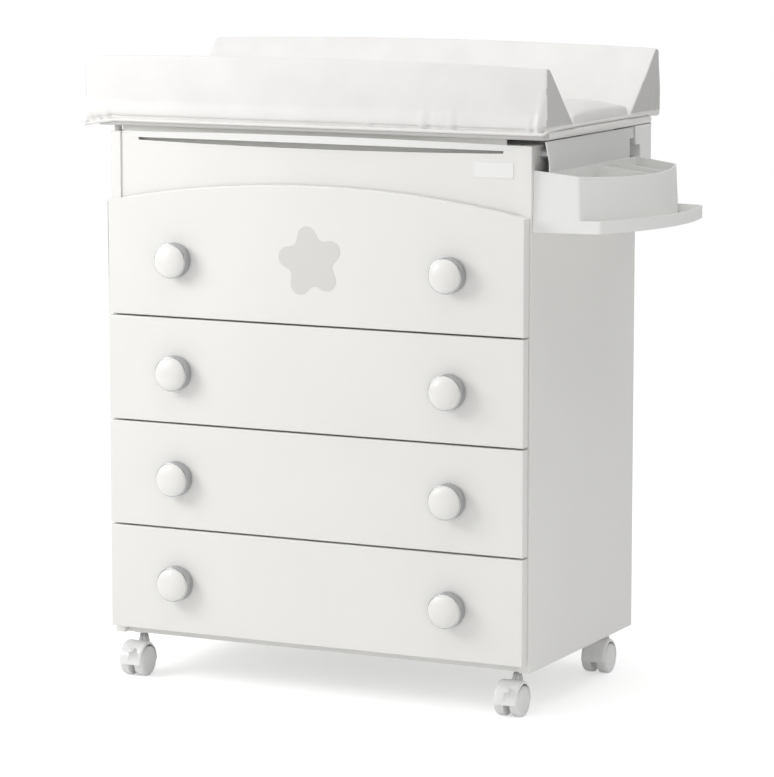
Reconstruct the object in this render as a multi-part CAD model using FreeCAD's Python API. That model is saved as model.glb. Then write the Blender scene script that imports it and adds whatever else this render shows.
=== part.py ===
import FreeCAD, Part

import math
import os

# Changing table with basin. All lengths are in millimetres and +Z is up.
# The model is drawn in carcass places: x from the middle of the chest, to the right,
# y from the front edges of the side panels, to the back, and z from the floor.
# The last function moves each piece so that the origin is on the floor, in the
# middle of the ground that the whole object covers.

# Chest
carcass_width = 757.0
carcass_depth = 428.0
panel = 18.0
side_bottom = 73.0
side_top = 913.0
edge_round = 1.5
back_thickness = 4.0
back_rebate = 8.0
bottom_setback = 10.0
overrun = 5.0

# Drawer fronts
front_width = 750.0
front_bottom = 87.0
front_height = 172.5
front_gap = 3.0
front_air = 2.0
front_round = 2.0
plain_drawers = 3
arch_end_height = 187.0
arch_rise = 37.0

# Drawer boxes
box_air = 2.0
box_side = 12.0
box_rear_air = 48.0
box_lift = 14.0
plain_box_height = 130.0
top_box_height = 95.0
drawer_floor = 4.0
floor_lift = 10.0
floor_groove = 6.0

# Runner strips that the grooved drawer sides slide on
runner_height = 12.0
runner_proud = 8.5
runner_front = 6.0
runner_rear_air = 38.0
runner_lift = 42.0
groove_depth = 7.0
slide_clearance = 0.3

# Knobs
knob_inset = 131.0
knob_drop = 3.0
knob_radius = 29.0
knob_foot_radius = 26.0
knob_drum_depth = 21.0
knob_cap_radius = 27.4
knob_cap_seat = 2.5
knob_projection = 32.0
knob_round = 3.0

# Star let into the top front
star_height_in_front = 102.0
star_reach = 60.0
star_waist = 37.0
star_tip_round = 17.0
star_waist_round = 13.0
star_tilt_degrees = 9.0
star_lobes = 5
star_depth = 3.0
star_proud = 0.4

# Fascia, rear rail and the cleats that carry the tub
fascia_bottom = 735.0
fascia_setback = 3.0
rail_height = 74.0
cleat_height = 30.0

# Bath tub
rim_thickness = 3.0
rim_clearance = 0.3
lip_length = 690.0
lip_bow = 9.0
lip_drop = 12.0
rib_setback = 5.0
rib_thickness = 2.5
rib_air = 1.5
rib_right_margin = 46.5
tub_wall = 3.0
tub_front = 36.0
tub_rear_margin = 40.0
tub_end_margin = 30.5
tub_depth = 176.0
tub_corner = 95.0
tub_foot_rake = 30.0
tub_head_rake = 105.0
tub_side_rake = 34.0
tub_floor_round = 26.0
drain_from_foot = 95.0
drain_radius = 20.0
drain_boss_radius = 27.0
drain_boss_height = 6.0
plug_flange = 4.0
plug_height = 9.0
plug_clearance = 0.3
plug_grip_radius = 6.0
plug_grip_height = 10.0

# Changing board and its rests
board_air = 9.5
board_thickness = 13.5
board_overhang = 28.0
board_front = 6.0
board_round = 6.0
board_corner = 14.0
rest_radius = 6.0
rest_place = 60.0
rest_corner_place = 9.0

# Rear posts and hinges
post_width = 66.0
post_leg_width = 47.0
post_head_height = 31.5
post_height = 121.5
post_round = 3.0
post_air = 0.5
leaf_thickness = 2.0
leaf_width = 24.0
leaf_height = 11.0
knuckle_radius = 3.0
hinge_pin_radius = 1.5
running_clearance = 0.05
knuckle_gap = 0.3
hinge_set_in = 1.0
hinge_below_board = 2.25

# Changing mat
mat_air = 0.3
mat_left_overhang = 18.0
mat_rear_overhang = 32.0
wedge_front_height = 101.0
wedge_rear_height = 107.0
wedge_base = 112.0
wedge_crown = 7.0
wedge_bulge = 3.0
wedge_tip_round = 7.0
wedge_toe_round = 4.0
soft_end_round = 3.0
pad_thickness = 25.0
pad_crown = 5.0
pad_corner = 6.0
pad_end_inset = 4.0
pad_end_thinning = 3.0
seam_gap = 0.6

# Plate that the side tray hangs on
plate_stand_off = 22.0
plate_thickness = 2.5
plate_top_air = 3.5
plate_below_rim = 43.0
plate_post_air = 4.0
plate_notch_above_rim = 27.0
plate_notch = 16.0
plate_front_notch_air = 1.0
spacer_radius = 8.0
spacer_drop = 20.0
spacer_inset = 40.0

# Side tray
tray_height = 97.0
tray_rim_drop = 38.0
tray_rim_fall = 15.0
tray_wall = 2.5
tray_wall_gap = 0.3
tray_front = 8.0
tray_rear_air = 56.0
tray_front_corner = (71.0, 12.0)
tray_rear_corner = (100.0, 16.0)
tray_reach = 126.0
tray_widest = 217.0
tray_flare = 4.0
tray_corner_round = 8.0
tray_dividers = (190.0, 250.0)
flange_height = 20.0
flange_rear_extra = 5.0
flange_front_corner = (107.0, 18.0)
flange_rear_corner = (150.0, 27.0)
flange_reach = 165.0
flange_widest = 236.0
flange_corner_round = 10.0
hook_width = 30.0
hook_height = 10.0
hook_drop = 10.0
hook_thickness = 4.5
hook_below_rim = 28.7
hook_inset = 70.0
tray_lift = 12.0
slot_clearance = 0.5

# Castors
wheel_radius = 25.0
wheel_width = 17.0
wheel_round = 4.0
wheel_recess = 3.0
wheel_recess_radius = 17.0
hub_radius = 7.0
web_half = 5.0
wheel_gap = 0.4
castor_trail = 22.0
castor_stem_inset = 35.0
castor_front_stem = 34.0
castor_rear_inset = 36.0
hood_clearance = 2.0
hood_wall = 2.8
hood_skirt_height = 22.0
boss_radius = 10.0
stem_radius = 4.0
stem_pocket = 18.0
stem_top_air = 1.0
axle_radius = 3.0
axle_air = 1.0
socket_flange = 2.5
socket_flange_radius = 18.0
socket_radius = 7.0
socket_seat_gap = 0.3
pedal_pivot_degrees = 140.0
pedal_pivot_radius = 34.5
pedal_barrel_radius = 3.0
pedal_pin_radius = 1.5
pedal_length = 17.0
pedal_width = 18.0
pedal_thickness = 3.0
pedal_droop_degrees = 15.0
pedal_ear = 2.5
pedal_ear_gap = 0.3

# Places worked out from the sizes above
V = FreeCAD.Vector
half_width = carcass_width / 2
inner_half = half_width - panel
back_front_face = carcass_depth - back_thickness
box_depth = carcass_depth - box_rear_air
runner_length = carcass_depth - runner_front - runner_rear_air
tub_back = carcass_depth - tub_rear_margin
tub_half_length = inner_half - tub_end_margin
castor_rear_stem = carcass_depth - castor_rear_inset
post_front = carcass_depth - post_width
post_leg_front = carcass_depth - post_leg_width
hinge_face = carcass_depth - hinge_set_in
tray_rim = side_top - tray_rim_drop
tray_bottom = tray_rim - tray_height
tray_rear = carcass_depth - tray_rear_air
tray_inner_wall = plate_stand_off + plate_thickness + tray_wall_gap
flange_front = tray_front - tray_flare
flange_rear = tray_rear + flange_rear_extra
hook_bottom = tray_rim - hook_below_rim
plate_bottom = tray_rim - plate_below_rim
plate_length = post_front - plate_post_air
plate_notch_height = tray_rim + plate_notch_above_rim
seat_height = side_top - rim_thickness
board_bottom = side_top + board_air
board_top = board_bottom + board_thickness
post_underside = board_bottom - post_head_height
post_bottom = board_bottom - post_height
board_half = half_width + board_overhang
mat_bottom = board_top + mat_air
mat_rear = carcass_depth + mat_rear_overhang
mat_left = board_half + mat_left_overhang
front_face = front_air + panel
front_pitch = front_height + front_gap
shift_x = (mat_left - (half_width + flange_reach)) / 2
shift_y = (front_face + knob_projection - mat_rear) / 2
shift = V(shift_x, shift_y, 0)


def block(x0, x1, y0, y1, z0, z1):
    """A box between two corners."""
    return Part.makeBox(x1 - x0, y1 - y0, z1 - z0, V(x0, y0, z0))


def rod(radius, start, direction, length):
    """A cylinder from its start along a direction."""
    return Part.makeCylinder(radius, length, start, direction)


def outline(*edges):
    """A closed wire of edges that follow each other."""
    return Part.Wire(Part.__sortEdges__(list(edges)))


def line(a, b):
    return Part.makeLine(a, b)


def arc(a, middle, b):
    return Part.Arc(a, middle, b).toShape()


def polygon(points):
    """A closed wire of straight edges."""
    return Part.makePolygon(points + [points[0]])


def prism(wire, direction):
    """A solid made by pushing a closed wire along a vector."""
    return Part.Face(wire).extrude(direction)


def turned(points, start, axis):
    """A solid turned from a profile of (radius, along) pairs about an axis."""
    side = V(0, 0, 1)
    profile = []
    for radius, along in points:
        profile.append(start + side * radius + axis * along)
    return Part.Face(polygon(profile)).revolve(start, axis, 360)


def rounded(solid, radius, chosen):
    """The solid with a fillet on the edges that a test picks."""
    edges = [edge for edge in solid.Edges if chosen(edge)]
    return solid.makeFillet(radius, edges)


def all_at(edge, axis, value):
    """Tells whether an edge lies wholly at one place along an axis."""
    for vertex in edge.Vertexes:
        if abs(getattr(vertex.Point, axis) - value) > edge_round / 100:
            return False
    return True


def along(edge, axis):
    """Tells whether an edge runs straight along an axis."""
    if len(edge.Vertexes) < 2:
        return False
    a = edge.Vertexes[0].Point
    b = edge.Vertexes[1].Point
    span = b - a
    return abs(abs(getattr(span, axis)) - span.Length) < edge_round / 100


def save(node, *solids):
    """Moves the solids into the part's frame and writes one file for the node."""
    shape = solids[0] if len(solids) == 1 else Part.makeCompound(list(solids))
    shape = shape.copy()
    shape.translate(shift)
    shape.exportStep("parts/" + node + ".step")
    print(node, len(solids), "valid" if shape.isValid() else "NOT VALID")


# Chest

def side_panel(side):
    """One side panel, with a rebate for the back along its rear edge."""
    outer = side * half_width
    inner = side * inner_half
    low = min(outer, inner)
    high = max(outer, inner)
    solid = block(low, high, 0, carcass_depth, side_bottom, side_top)

    def outer_edge(edge):
        return all_at(edge, "x", outer) and not all_at(edge, "z", side_bottom)

    solid = rounded(solid, edge_round, outer_edge)
    rebate_in = side * (inner_half + back_rebate)
    rebate_low = min(rebate_in, inner - side * overrun)
    rebate_high = max(rebate_in, inner - side * overrun)
    rebate = block(rebate_low, rebate_high, back_front_face, carcass_depth + overrun,
                   side_bottom - overrun, side_top + overrun)
    solid = solid.cut(rebate)
    if side > 0:
        for y, z in spacer_places():
            solid = solid.cut(rod(spacer_screw_radius(), V(inner, y, z), V(1, 0, 0), panel))
    return solid


def spacer_screw_radius():
    """Half of the spacer's radius, for the shank in the side panel."""
    return spacer_radius / 2


def spacer_places():
    """The places, along y and z, of the spacers behind the tray's plate."""
    height = board_bottom - plate_top_air - spacer_drop
    middle = (spacer_inset + plate_length - spacer_inset) / 2
    places = []
    for y in (spacer_inset, middle, plate_length - spacer_inset):
        places.append((y, height))
    return places


def stem_places():
    """The four castor stems: front left, front right, rear left and rear right."""
    reach = half_width - castor_stem_inset
    places = []
    for y in (castor_front_stem, castor_rear_stem):
        for x in (-reach, reach):
            places.append((x, y))
    return places


def bottom_panel():
    solid = block(-inner_half, inner_half, bottom_setback, back_front_face,
                  side_bottom, side_bottom + panel)
    for x, y in stem_places():
        solid = solid.cut(rod(socket_radius, V(x, y, side_bottom), V(0, 0, 1), panel))
    return solid


def back_panel():
    reach = inner_half + back_rebate
    return block(-reach, reach, back_front_face, carcass_depth, side_bottom, seat_height)


def fascia_panel():
    return block(-inner_half, inner_half, fascia_setback, fascia_setback + panel, fascia_bottom,
                 seat_height)


def rear_rail():
    return block(-inner_half, inner_half, back_front_face - panel, back_front_face,
                 seat_height - rail_height, seat_height)


def tub_cleats():
    cleats = []
    for side in (-1, 1):
        low = min(side * inner_half, side * (inner_half - panel))
        cleats.append(block(low, low + panel, fascia_setback + panel, back_front_face - panel,
                            seat_height - cleat_height, seat_height))
    return cleats


def drawer_bottoms():
    """The height of each front's lower edge, from the lowest drawer up."""
    return [front_bottom + front_pitch * level for level in range(plain_drawers + 1)]


def runner_middle(level_bottom):
    return level_bottom + box_lift + runner_lift


def drawer_runners():
    strips = []
    for level_bottom in drawer_bottoms():
        low = runner_middle(level_bottom) - runner_height / 2
        for side in (-1, 1):
            inner = side * (inner_half - runner_proud)
            x0 = min(inner, side * inner_half)
            strip = block(x0, x0 + runner_proud, runner_front, runner_front + runner_length,
                          low, low + runner_height)
            strips.append(strip)
    return strips


# Drawers

def plain_front(level_bottom):
    half = front_width / 2
    solid = block(-half, half, -front_face, -front_air, level_bottom, level_bottom + front_height)
    return rounded(solid, front_round, lambda edge: all_at(edge, "y", -front_face))


def arched_front(level_bottom):
    """The top front: straight sides, an arched top edge and a pocket for the star."""
    half = front_width / 2
    end = level_bottom + arch_end_height
    wire = outline(
        line(V(-half, -front_face, level_bottom), V(half, -front_face, level_bottom)),
        line(V(half, -front_face, level_bottom), V(half, -front_face, end)),
        arc(V(half, -front_face, end), V(0, -front_face, end + arch_rise),
            V(-half, -front_face, end)),
        line(V(-half, -front_face, end), V(-half, -front_face, level_bottom)))
    solid = prism(wire, V(0, panel, 0))
    solid = rounded(solid, front_round, lambda edge: all_at(edge, "y", -front_face))
    pocket = star(level_bottom, -front_face - overrun, star_depth + overrun)
    return solid.cut(pocket)


def star(level_bottom, y, depth):
    """The five-lobed star: a star polygon with rounded tips and rounded waists."""
    centre = V(0, y, level_bottom + star_height_in_front)
    step = math.pi / star_lobes
    tilt = math.radians(90 + star_tilt_degrees)
    points = []
    for corner in range(2 * star_lobes):
        reach = star_reach + star_growth() if corner % 2 == 0 else star_waist
        angle = tilt + step * corner
        points.append(centre + V(reach * math.cos(angle), 0, reach * math.sin(angle)))
    solid = prism(polygon(points), V(0, depth, 0))

    def tip(edge):
        return along(edge, "y") and star_distance(edge, centre) > star_reach

    def waist(edge):
        at_waist = star_distance(edge, centre) < (star_reach + star_waist) / 2
        return along(edge, "y") and at_waist

    solid = rounded(solid, star_waist_round, waist)
    return rounded(solid, star_tip_round, tip)


def star_growth():
    """How far a lobe's sharp corner stands beyond its rounded tip."""
    step = math.pi / star_lobes
    reach = star_reach
    for _ in range(star_lobes):
        across = star_waist * math.sin(step)
        out = reach - star_waist * math.cos(step)
        half_angle = math.atan2(across, out)
        reach = star_reach + star_tip_round * (1 / math.sin(half_angle) - 1)
    return reach - star_reach


def star_distance(edge, centre):
    point = edge.Vertexes[0].Point
    return math.hypot(point.x - centre.x, point.z - centre.z)


def drawer_box(level_bottom, height):
    """Two grooved sides and a back. The front panel closes the box in front."""
    outer = inner_half - box_air
    low = level_bottom + box_lift
    floor_low = low + floor_lift
    rear = box_depth - front_air
    middle = runner_middle(level_bottom)
    groove_half = runner_height / 2 + slide_clearance
    solids = []
    for side in (-1, 1):
        x0 = min(side * outer, side * (outer - box_side))
        solid = block(x0, x0 + box_side, -front_air, rear, low, low + height)
        groove_x = min(side * (outer - groove_depth), side * (outer + overrun))
        groove = block(groove_x, groove_x + groove_depth + overrun,
                       runner_front - slide_clearance, rear + overrun,
                       middle - groove_half, middle + groove_half)
        floor_x = min(side * (outer - box_side - overrun), side * (outer - box_side + floor_groove))
        floor_slot = block(floor_x, floor_x + overrun + floor_groove, -front_air - overrun,
                           rear + overrun, floor_low, floor_low + drawer_floor)
        solids.append(solid.cut(groove).cut(floor_slot))
    inside = outer - box_side
    solids.append(block(-inside, inside, rear - box_side, rear, floor_low + drawer_floor,
                        low + height))
    return solids


def drawer_floor_panel(level_bottom):
    reach = inner_half - box_air - box_side + floor_groove
    low = level_bottom + box_lift + floor_lift
    return block(-reach, reach, -front_air, box_depth - front_air, low, low + drawer_floor)


def knob_heights():
    """The knobs' height on each front: a little below the middle of its straight sides."""
    heights = [bottom + front_height / 2 - knob_drop for bottom in drawer_bottoms()]
    heights[-1] = drawer_bottoms()[-1] + arch_end_height / 2
    return heights


def knob_pair(height):
    """Two knobs, each a turned drum with a domed cap let into its face."""
    solids = []
    out = V(0, -1, 0)
    seat = knob_drum_depth - knob_cap_seat
    for side in (-1, 1):
        start = V(side * (half_width - knob_inset), -front_face, height)
        drum = turned([(0, 0), (knob_foot_radius, 0), (knob_radius, knob_round),
                       (knob_radius, knob_drum_depth - knob_round / 2),
                       (knob_radius - knob_round / 2, knob_drum_depth),
                       (knob_cap_radius, knob_drum_depth),
                       (knob_cap_radius, seat), (0, seat)], start, out)
        solids.append(drum)
        solids.append(dome(start + out * seat, out))
    return solids


def dome(start, out):
    """A domed disc: a short rim, then an arc up to the crown."""
    up = V(0, 0, 1)
    rim = start + up * knob_cap_radius
    shoulder = rim + out * knob_cap_seat
    crown = start + out * (knob_projection - knob_drum_depth + knob_cap_seat)
    rise = knob_projection - knob_drum_depth
    dome_radius = (knob_cap_radius ** 2 + rise ** 2) / (2 * rise)
    half_angle = math.asin(knob_cap_radius / dome_radius) / 2
    middle = crown + up * (dome_radius * math.sin(half_angle))
    middle = middle - out * (dome_radius * (1 - math.cos(half_angle)))
    wire = outline(line(start, rim), line(rim, shoulder), arc(shoulder, middle, crown),
                   line(crown, start))
    return Part.Face(wire).revolve(start, out, 360)


# Bath tub

def tub_section(depth, inset, foot_rake, head_rake, side_rake):
    """A rounded rectangle of the basin at one depth under the rim."""
    x0 = -tub_half_length + head_rake + inset
    x1 = tub_half_length - foot_rake - inset
    y0 = tub_front + side_rake + inset
    y1 = tub_back - side_rake - inset
    z = side_top - depth
    radius = tub_corner - inset - side_rake / 2
    bend = radius * (1 - math.sqrt(1 / 2))
    edges = [
        line(V(x0 + radius, y0, z), V(x1 - radius, y0, z)),
        arc(V(x1 - radius, y0, z), V(x1 - bend, y0 + bend, z), V(x1, y0 + radius, z)),
        line(V(x1, y0 + radius, z), V(x1, y1 - radius, z)),
        arc(V(x1, y1 - radius, z), V(x1 - bend, y1 - bend, z), V(x1 - radius, y1, z)),
        line(V(x1 - radius, y1, z), V(x0 + radius, y1, z)),
        arc(V(x0 + radius, y1, z), V(x0 + bend, y1 - bend, z), V(x0, y1 - radius, z)),
        line(V(x0, y1 - radius, z), V(x0, y0 + radius, z)),
        arc(V(x0, y0 + radius, z), V(x0 + bend, y0 + bend, z), V(x0 + radius, y0, z))]
    return Part.Wire(edges)


def basin(inset, top_depth, floor_depth):
    """The basin's form: raked walls, then a turn in to the floor."""
    turn_depth = floor_depth - tub_floor_round
    turn_share = (turn_depth - top_depth) / (floor_depth - top_depth)
    half_turn = tub_floor_round * (1 - math.sqrt(1 / 2))
    wires = [tub_section(top_depth, inset, 0, 0, 0)]
    rakes = (tub_foot_rake, tub_head_rake, tub_side_rake)
    steps = ((turn_depth, 0, turn_share), (floor_depth - half_turn, half_turn, 1),
             (floor_depth, tub_floor_round, 1))
    for depth, draw, share in steps:
        wires.append(tub_section(depth, inset + draw, *[rake * share for rake in rakes]))
    return Part.makeLoft(wires, True, True)


def drain_place():
    return V(tub_half_length - tub_foot_rake - drain_from_foot, (tub_front + tub_back) / 2,
             side_top - tub_depth)


def lip_plan(push, z):
    """The bowed front edge of the rim, as a segment of a circle in front of the fascia."""
    half = lip_length / 2
    return outline(line(V(-half, push, z), V(half, push, z)),
                   arc(V(half, push, z), V(0, push - lip_bow, z), V(-half, push, z)))


def splash_rib():
    """A thin upstand along the front of the rim that closes most of the gap under the board."""
    front = fascia_setback + rib_setback
    top = board_bottom - rib_air
    rib = block(rim_clearance - inner_half, half_width - rib_right_margin, front,
                front + rib_thickness, seat_height, top)
    return rounded(rib, rib_thickness / 3,
                   lambda edge: along(edge, "x") and all_at(edge, "z", top))


def bath_tub():
    reach = inner_half - rim_clearance
    rim = block(-reach, reach, fascia_setback, back_front_face - rim_clearance, seat_height,
                side_top)
    lip = prism(lip_plan(fascia_setback, side_top - lip_drop), V(0, 0, lip_drop))
    hollow = prism(lip_plan(fascia_setback + tub_wall, side_top - lip_drop - overrun),
                   V(0, 0, lip_drop + overrun - rim_thickness))
    lip = lip.cut(hollow)
    outer = basin(0, rim_thickness, tub_depth + tub_wall)
    inner = basin(tub_wall, 0, tub_depth)
    drain = drain_place()
    boss = rod(drain_boss_radius, drain - V(0, 0, tub_wall + drain_boss_height), V(0, 0, 1),
               drain_boss_height + tub_wall)
    solid = rim.fuse([lip, splash_rib(), outer, boss]).cut(inner)
    bore_start = drain - V(0, 0, tub_wall + drain_boss_height + overrun)
    solid = solid.cut(rod(drain_radius, bore_start, V(0, 0, 1),
                          drain_boss_height + tub_wall + 2 * overrun))
    return solid.removeSplitter()


def tub_plug():
    """A stopper in the drain: a tapered-looking body, a flange and a grip."""
    drain = drain_place()
    up = V(0, 0, 1)
    body_radius = drain_radius - plug_clearance
    body = rod(body_radius, drain - up * (plug_height - plug_clearance), up, plug_height)
    flange = rod(drain_radius + plug_flange, drain + up * plug_clearance, up, plug_clearance * 4)
    grip = rod(plug_grip_radius, drain + up * plug_clearance, up, plug_grip_height)
    grip = rounded(grip, plug_grip_radius / 3,
                   lambda edge: all_at(edge, "z", drain.z + plug_clearance + plug_grip_height))
    return body.fuse([flange, grip]).removeSplitter()


# Posts, hinges and rests

def hinge_post(side):
    """A moulded bracket on the side panel's rear corner that carries the hinge."""
    top = board_bottom - post_air
    points = [V(0, post_front, post_underside), V(0, post_front, top), V(0, hinge_face, top),
              V(0, hinge_face, post_bottom), V(0, post_leg_front, post_bottom),
              V(0, post_leg_front, post_underside)]
    solid = prism(polygon(points), V(board_overhang, 0, 0))

    def outer_edge(edge):
        return all_at(edge, "x", board_overhang)

    solid = rounded(solid, post_round, outer_edge)
    if side < 0:
        solid = solid.mirror(V(0, 0, 0), V(1, 0, 0))
    solid.translate(V(side * half_width, 0, 0))
    return solid


def hinge_axis():
    """The hinge's axis: behind the board's rear edge, just under its lower face."""
    return V(0, hinge_face + knuckle_radius, board_bottom - hinge_below_board)


def hinge_middle(side):
    return side * (board_half - leaf_width / 2 - post_round)


def knuckle(x0, x1):
    axis = hinge_axis()
    bore = hinge_pin_radius + running_clearance
    barrel = rod(knuckle_radius, V(x0, axis.y, axis.z), V(1, 0, 0), x1 - x0)
    return barrel.cut(rod(bore, V(x0, axis.y, axis.z), V(1, 0, 0), x1 - x0))


def leaf(x0, x1, z0, z1, knuckles):
    """A flat leaf on a rear face, with its knuckles round the pin."""
    axis = hinge_axis()
    plate = block(x0, x1, hinge_face, hinge_face + leaf_thickness, z0, z1)
    neck_low = min(z0, axis.z)
    neck_high = max(z1, axis.z)
    bore = hinge_pin_radius + running_clearance
    solid = plate
    for a, b in knuckles:
        neck = block(a, b, hinge_face, hinge_face + leaf_thickness, neck_low, neck_high)
        solid = solid.fuse([knuckle(a, b), neck])
    solid = solid.cut(rod(bore, V(x0, axis.y, axis.z), V(1, 0, 0), x1 - x0))
    return solid.removeSplitter()


def knuckle_spans(side):
    """The moving knuckle in the middle third, and the fixed ones at its ends."""
    x0 = hinge_middle(side) - leaf_width / 2
    third = leaf_width / 3
    moving = [(x0 + third + knuckle_gap, x0 + 2 * third - knuckle_gap)]
    fixed = [(x0, x0 + third), (x0 + 2 * third, x0 + leaf_width)]
    return moving, fixed


def fixed_leaves():
    top = hinge_axis().z - knuckle_radius - knuckle_gap
    solids = []
    for side in (-1, 1):
        x0 = hinge_middle(side) - leaf_width / 2
        fixed = knuckle_spans(side)[1]
        solids.append(leaf(x0, x0 + leaf_width, top - leaf_height, top, fixed))
    return solids


def moving_leaves():
    low = hinge_axis().z + knuckle_radius + knuckle_gap
    solids = []
    for side in (-1, 1):
        x0 = hinge_middle(side) - leaf_width / 2
        moving = knuckle_spans(side)[0]
        solids.append(leaf(x0, x0 + leaf_width, low, low + leaf_height, moving))
    return solids


def hinge_pins():
    axis = hinge_axis()
    pins = []
    for side in (-1, 1):
        x0 = hinge_middle(side) - leaf_width / 2
        pins.append(rod(hinge_pin_radius, V(x0, axis.y, axis.z), V(1, 0, 0), leaf_width))
    return pins


def board_rests():
    """Round pads on top of the side panels, under the changing board, one right in the left corner."""
    x = half_width - panel / 2
    front_places = {-1: rest_corner_place, 1: rest_place}
    rests = []
    for side in (-1, 1):
        for y in (front_places[side], carcass_depth - rest_place):
            rests.append(rod(rest_radius, V(side * x, y, side_top), V(0, 0, 1),
                             board_air - slide_clearance))
    return rests


def changing_board():
    solid = block(-board_half, board_half, -board_front, hinge_face, board_bottom, board_top)

    def front_corner(edge):
        return along(edge, "z") and all_at(edge, "y", -board_front)

    def rim_edge(edge):
        level = all_at(edge, "z", board_top) or all_at(edge, "z", board_bottom)
        return level and not all_at(edge, "y", hinge_face)

    solid = rounded(solid, board_corner, front_corner)
    return rounded(solid, board_round, rim_edge)


# Changing mat

station_shares = (-1.0, -0.5, 0.0, 0.5, 1.0)


def mat_span():
    """The mat's middle and half length along x."""
    middle = (board_half - mat_left) / 2
    half = (board_half + mat_left) / 2
    return middle, half


def bowed(a, b, bulge):
    """An arc from a to b that stands out by the bulge, to the left of its way in the yz plane."""
    chord = b - a
    normal = V(0, -chord.z, chord.y)
    normal.normalize()
    return arc(a, (a + b) * 0.5 + normal * bulge, b)


def wedge_height(side):
    return wedge_front_height if side < 0 else wedge_rear_height


def wedge_slope(base, top):
    """Where the wedge's long slope starts and ends, from its outer face and its foot."""
    slope = math.atan2(top - wedge_tip_round, base - wedge_tip_round)
    tip_in = wedge_tip_round * (1 + math.sin(slope))
    tip_up = top - wedge_tip_round * (1 - math.cos(slope))
    return (base - wedge_toe_round / 3, wedge_toe_round), (tip_in, tip_up)


def wedge_section(x, side, share, draw):
    """The mat's side wedge across: an upright outer face, a round tip and a long slope."""
    outer = wedge_bulge - board_front if side < 0 else mat_rear - wedge_bulge
    inward = -side
    outer = outer + inward * draw

    def place(u, v):
        return V(x, outer + inward * u, mat_bottom + v)

    top = wedge_height(side) + wedge_crown * (1 - share ** 2) - draw
    base = wedge_base - 2 * draw
    tip = wedge_tip_round
    toe = wedge_toe_round
    slope_foot, slope_top = wedge_slope(base, top)
    bend = tip * (1 - math.sqrt(1 / 2))
    a = place(toe, 0)
    b = place(base - toe, 0)
    c = place(*slope_foot)
    d = place(*slope_top)
    e = place(0, top - tip)
    f = place(0, toe)
    bulge = -wedge_bulge * side
    return Part.Wire([line(a, b), arc(b, place(base - toe / 3, toe / 4), c),
                      bowed(c, d, -bulge), arc(d, place(tip - bend / 2, top), e),
                      bowed(e, f, -bulge), arc(f, place(toe / 4, toe / 4), a)])


def soft_bar(section, middle, half):
    """A soft bar along x: a crowned body, and a short piece at each end that draws in."""
    body_half = half - soft_end_round
    wires = []
    for share in station_shares:
        wires.append(section(middle + body_half * share, share, 0))
    solid = Part.makeLoft(wires, True, False)
    for side, wire in ((-1, wires[0]), (1, wires[-1])):
        tip = section(middle + half * side, side, soft_end_round)
        solid = solid.fuse(Part.makeLoft([wire, tip], True, True))
    return solid


def mat_wedge(side):
    middle, half = mat_span()

    def section(x, share, draw):
        return wedge_section(x, side, share, draw)

    return soft_bar(section, middle, half)


def pad_side(side):
    """How far in from a wedge's outer face the pad's foot lies, and the lean of its side."""
    foot, top = wedge_slope(wedge_base, wedge_height(side) + wedge_crown)
    lean = (foot[0] - top[0]) / (top[1] - foot[1])
    clear = (wedge_bulge / 2 + seam_gap) * math.sqrt(1 + lean ** 2)
    return foot[0] + foot[1] * lean + clear, lean


def pad_section(x, share, draw):
    """The flat pad across: its sides lie along the wedges' slopes, and its top is crowned."""
    height_share = 1 - (pad_end_thinning * share ** 2 + draw) / pad_thickness
    front_in, front_lean = pad_side(-1)
    rear_in, rear_lean = pad_side(1)
    front = wedge_bulge - board_front + front_in
    rear = mat_rear - wedge_bulge - rear_in
    thickness = pad_thickness * height_share
    corner = pad_corner * height_share
    low = mat_bottom
    top = mat_bottom + thickness
    front_top = front - (thickness - corner) * front_lean
    rear_top = rear + (thickness - corner) * rear_lean
    points = [V(x, front, low), V(x, rear, low), V(x, rear_top, top - corner),
              V(x, rear_top - corner, top), V(x, front_top + corner, top),
              V(x, front_top, top - corner)]
    a, b, c, d, e, f = points
    crown = pad_crown * height_share
    return Part.Wire([line(a, b), line(b, c), bowed(c, d, -corner / 4), bowed(d, e, -crown),
                      bowed(e, f, -corner / 4), line(f, a)])


def mat_pad():
    middle, half = mat_span()
    return soft_bar(pad_section, middle, half - pad_end_inset)


# Side tray and the plate that it hangs on

def hook_places():
    return (flange_front + hook_inset, flange_rear - hook_inset)


def hanger_plate():
    """A flat plate that stands off the right side panel, with two slots for the tray's hooks."""
    x0 = half_width + plate_stand_off
    top = board_bottom - plate_top_air
    notch_rear = plate_length - plate_notch
    corner_reach, corner_in = tray_front_corner
    lean_in = corner_in * (plate_stand_off + plate_thickness) / corner_reach
    front_notch = tray_front + lean_in + tray_wall + plate_front_notch_air
    notch_top = tray_rim + tray_lift + plate_front_notch_air
    points = [V(x0, front_notch, plate_bottom), V(x0, front_notch, notch_top),
              V(x0, 0, top), V(x0, plate_length, top),
              V(x0, plate_length, plate_notch_height), V(x0, notch_rear, plate_notch_height),
              V(x0, notch_rear, plate_bottom)]
    solid = prism(polygon(points), V(plate_thickness, 0, 0))
    solid = rounded(solid, edge_round, lambda edge: all_at(edge, "x", x0 + plate_thickness))
    slot_half = hook_width / 2 + slot_clearance
    slot_low = hook_bottom - slide_clearance
    slot_high = hook_bottom + hook_height + tray_lift + slot_clearance
    for y in hook_places():
        solid = solid.cut(block(x0 - overrun, x0 + plate_thickness + overrun, y - slot_half,
                                y + slot_half, slot_low, slot_high))
    return solid


def hanger_spacers():
    """Turned spacers that carry the plate, each with a shank through the side panel."""
    solids = []
    for y, z in spacer_places():
        spacer = rod(spacer_radius, V(half_width, y, z), V(1, 0, 0), plate_stand_off)
        shank = rod(spacer_screw_radius(), V(inner_half, y, z), V(1, 0, 0), panel)
        solids.append(spacer.fuse(shank).removeSplitter())
    return solids


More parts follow.
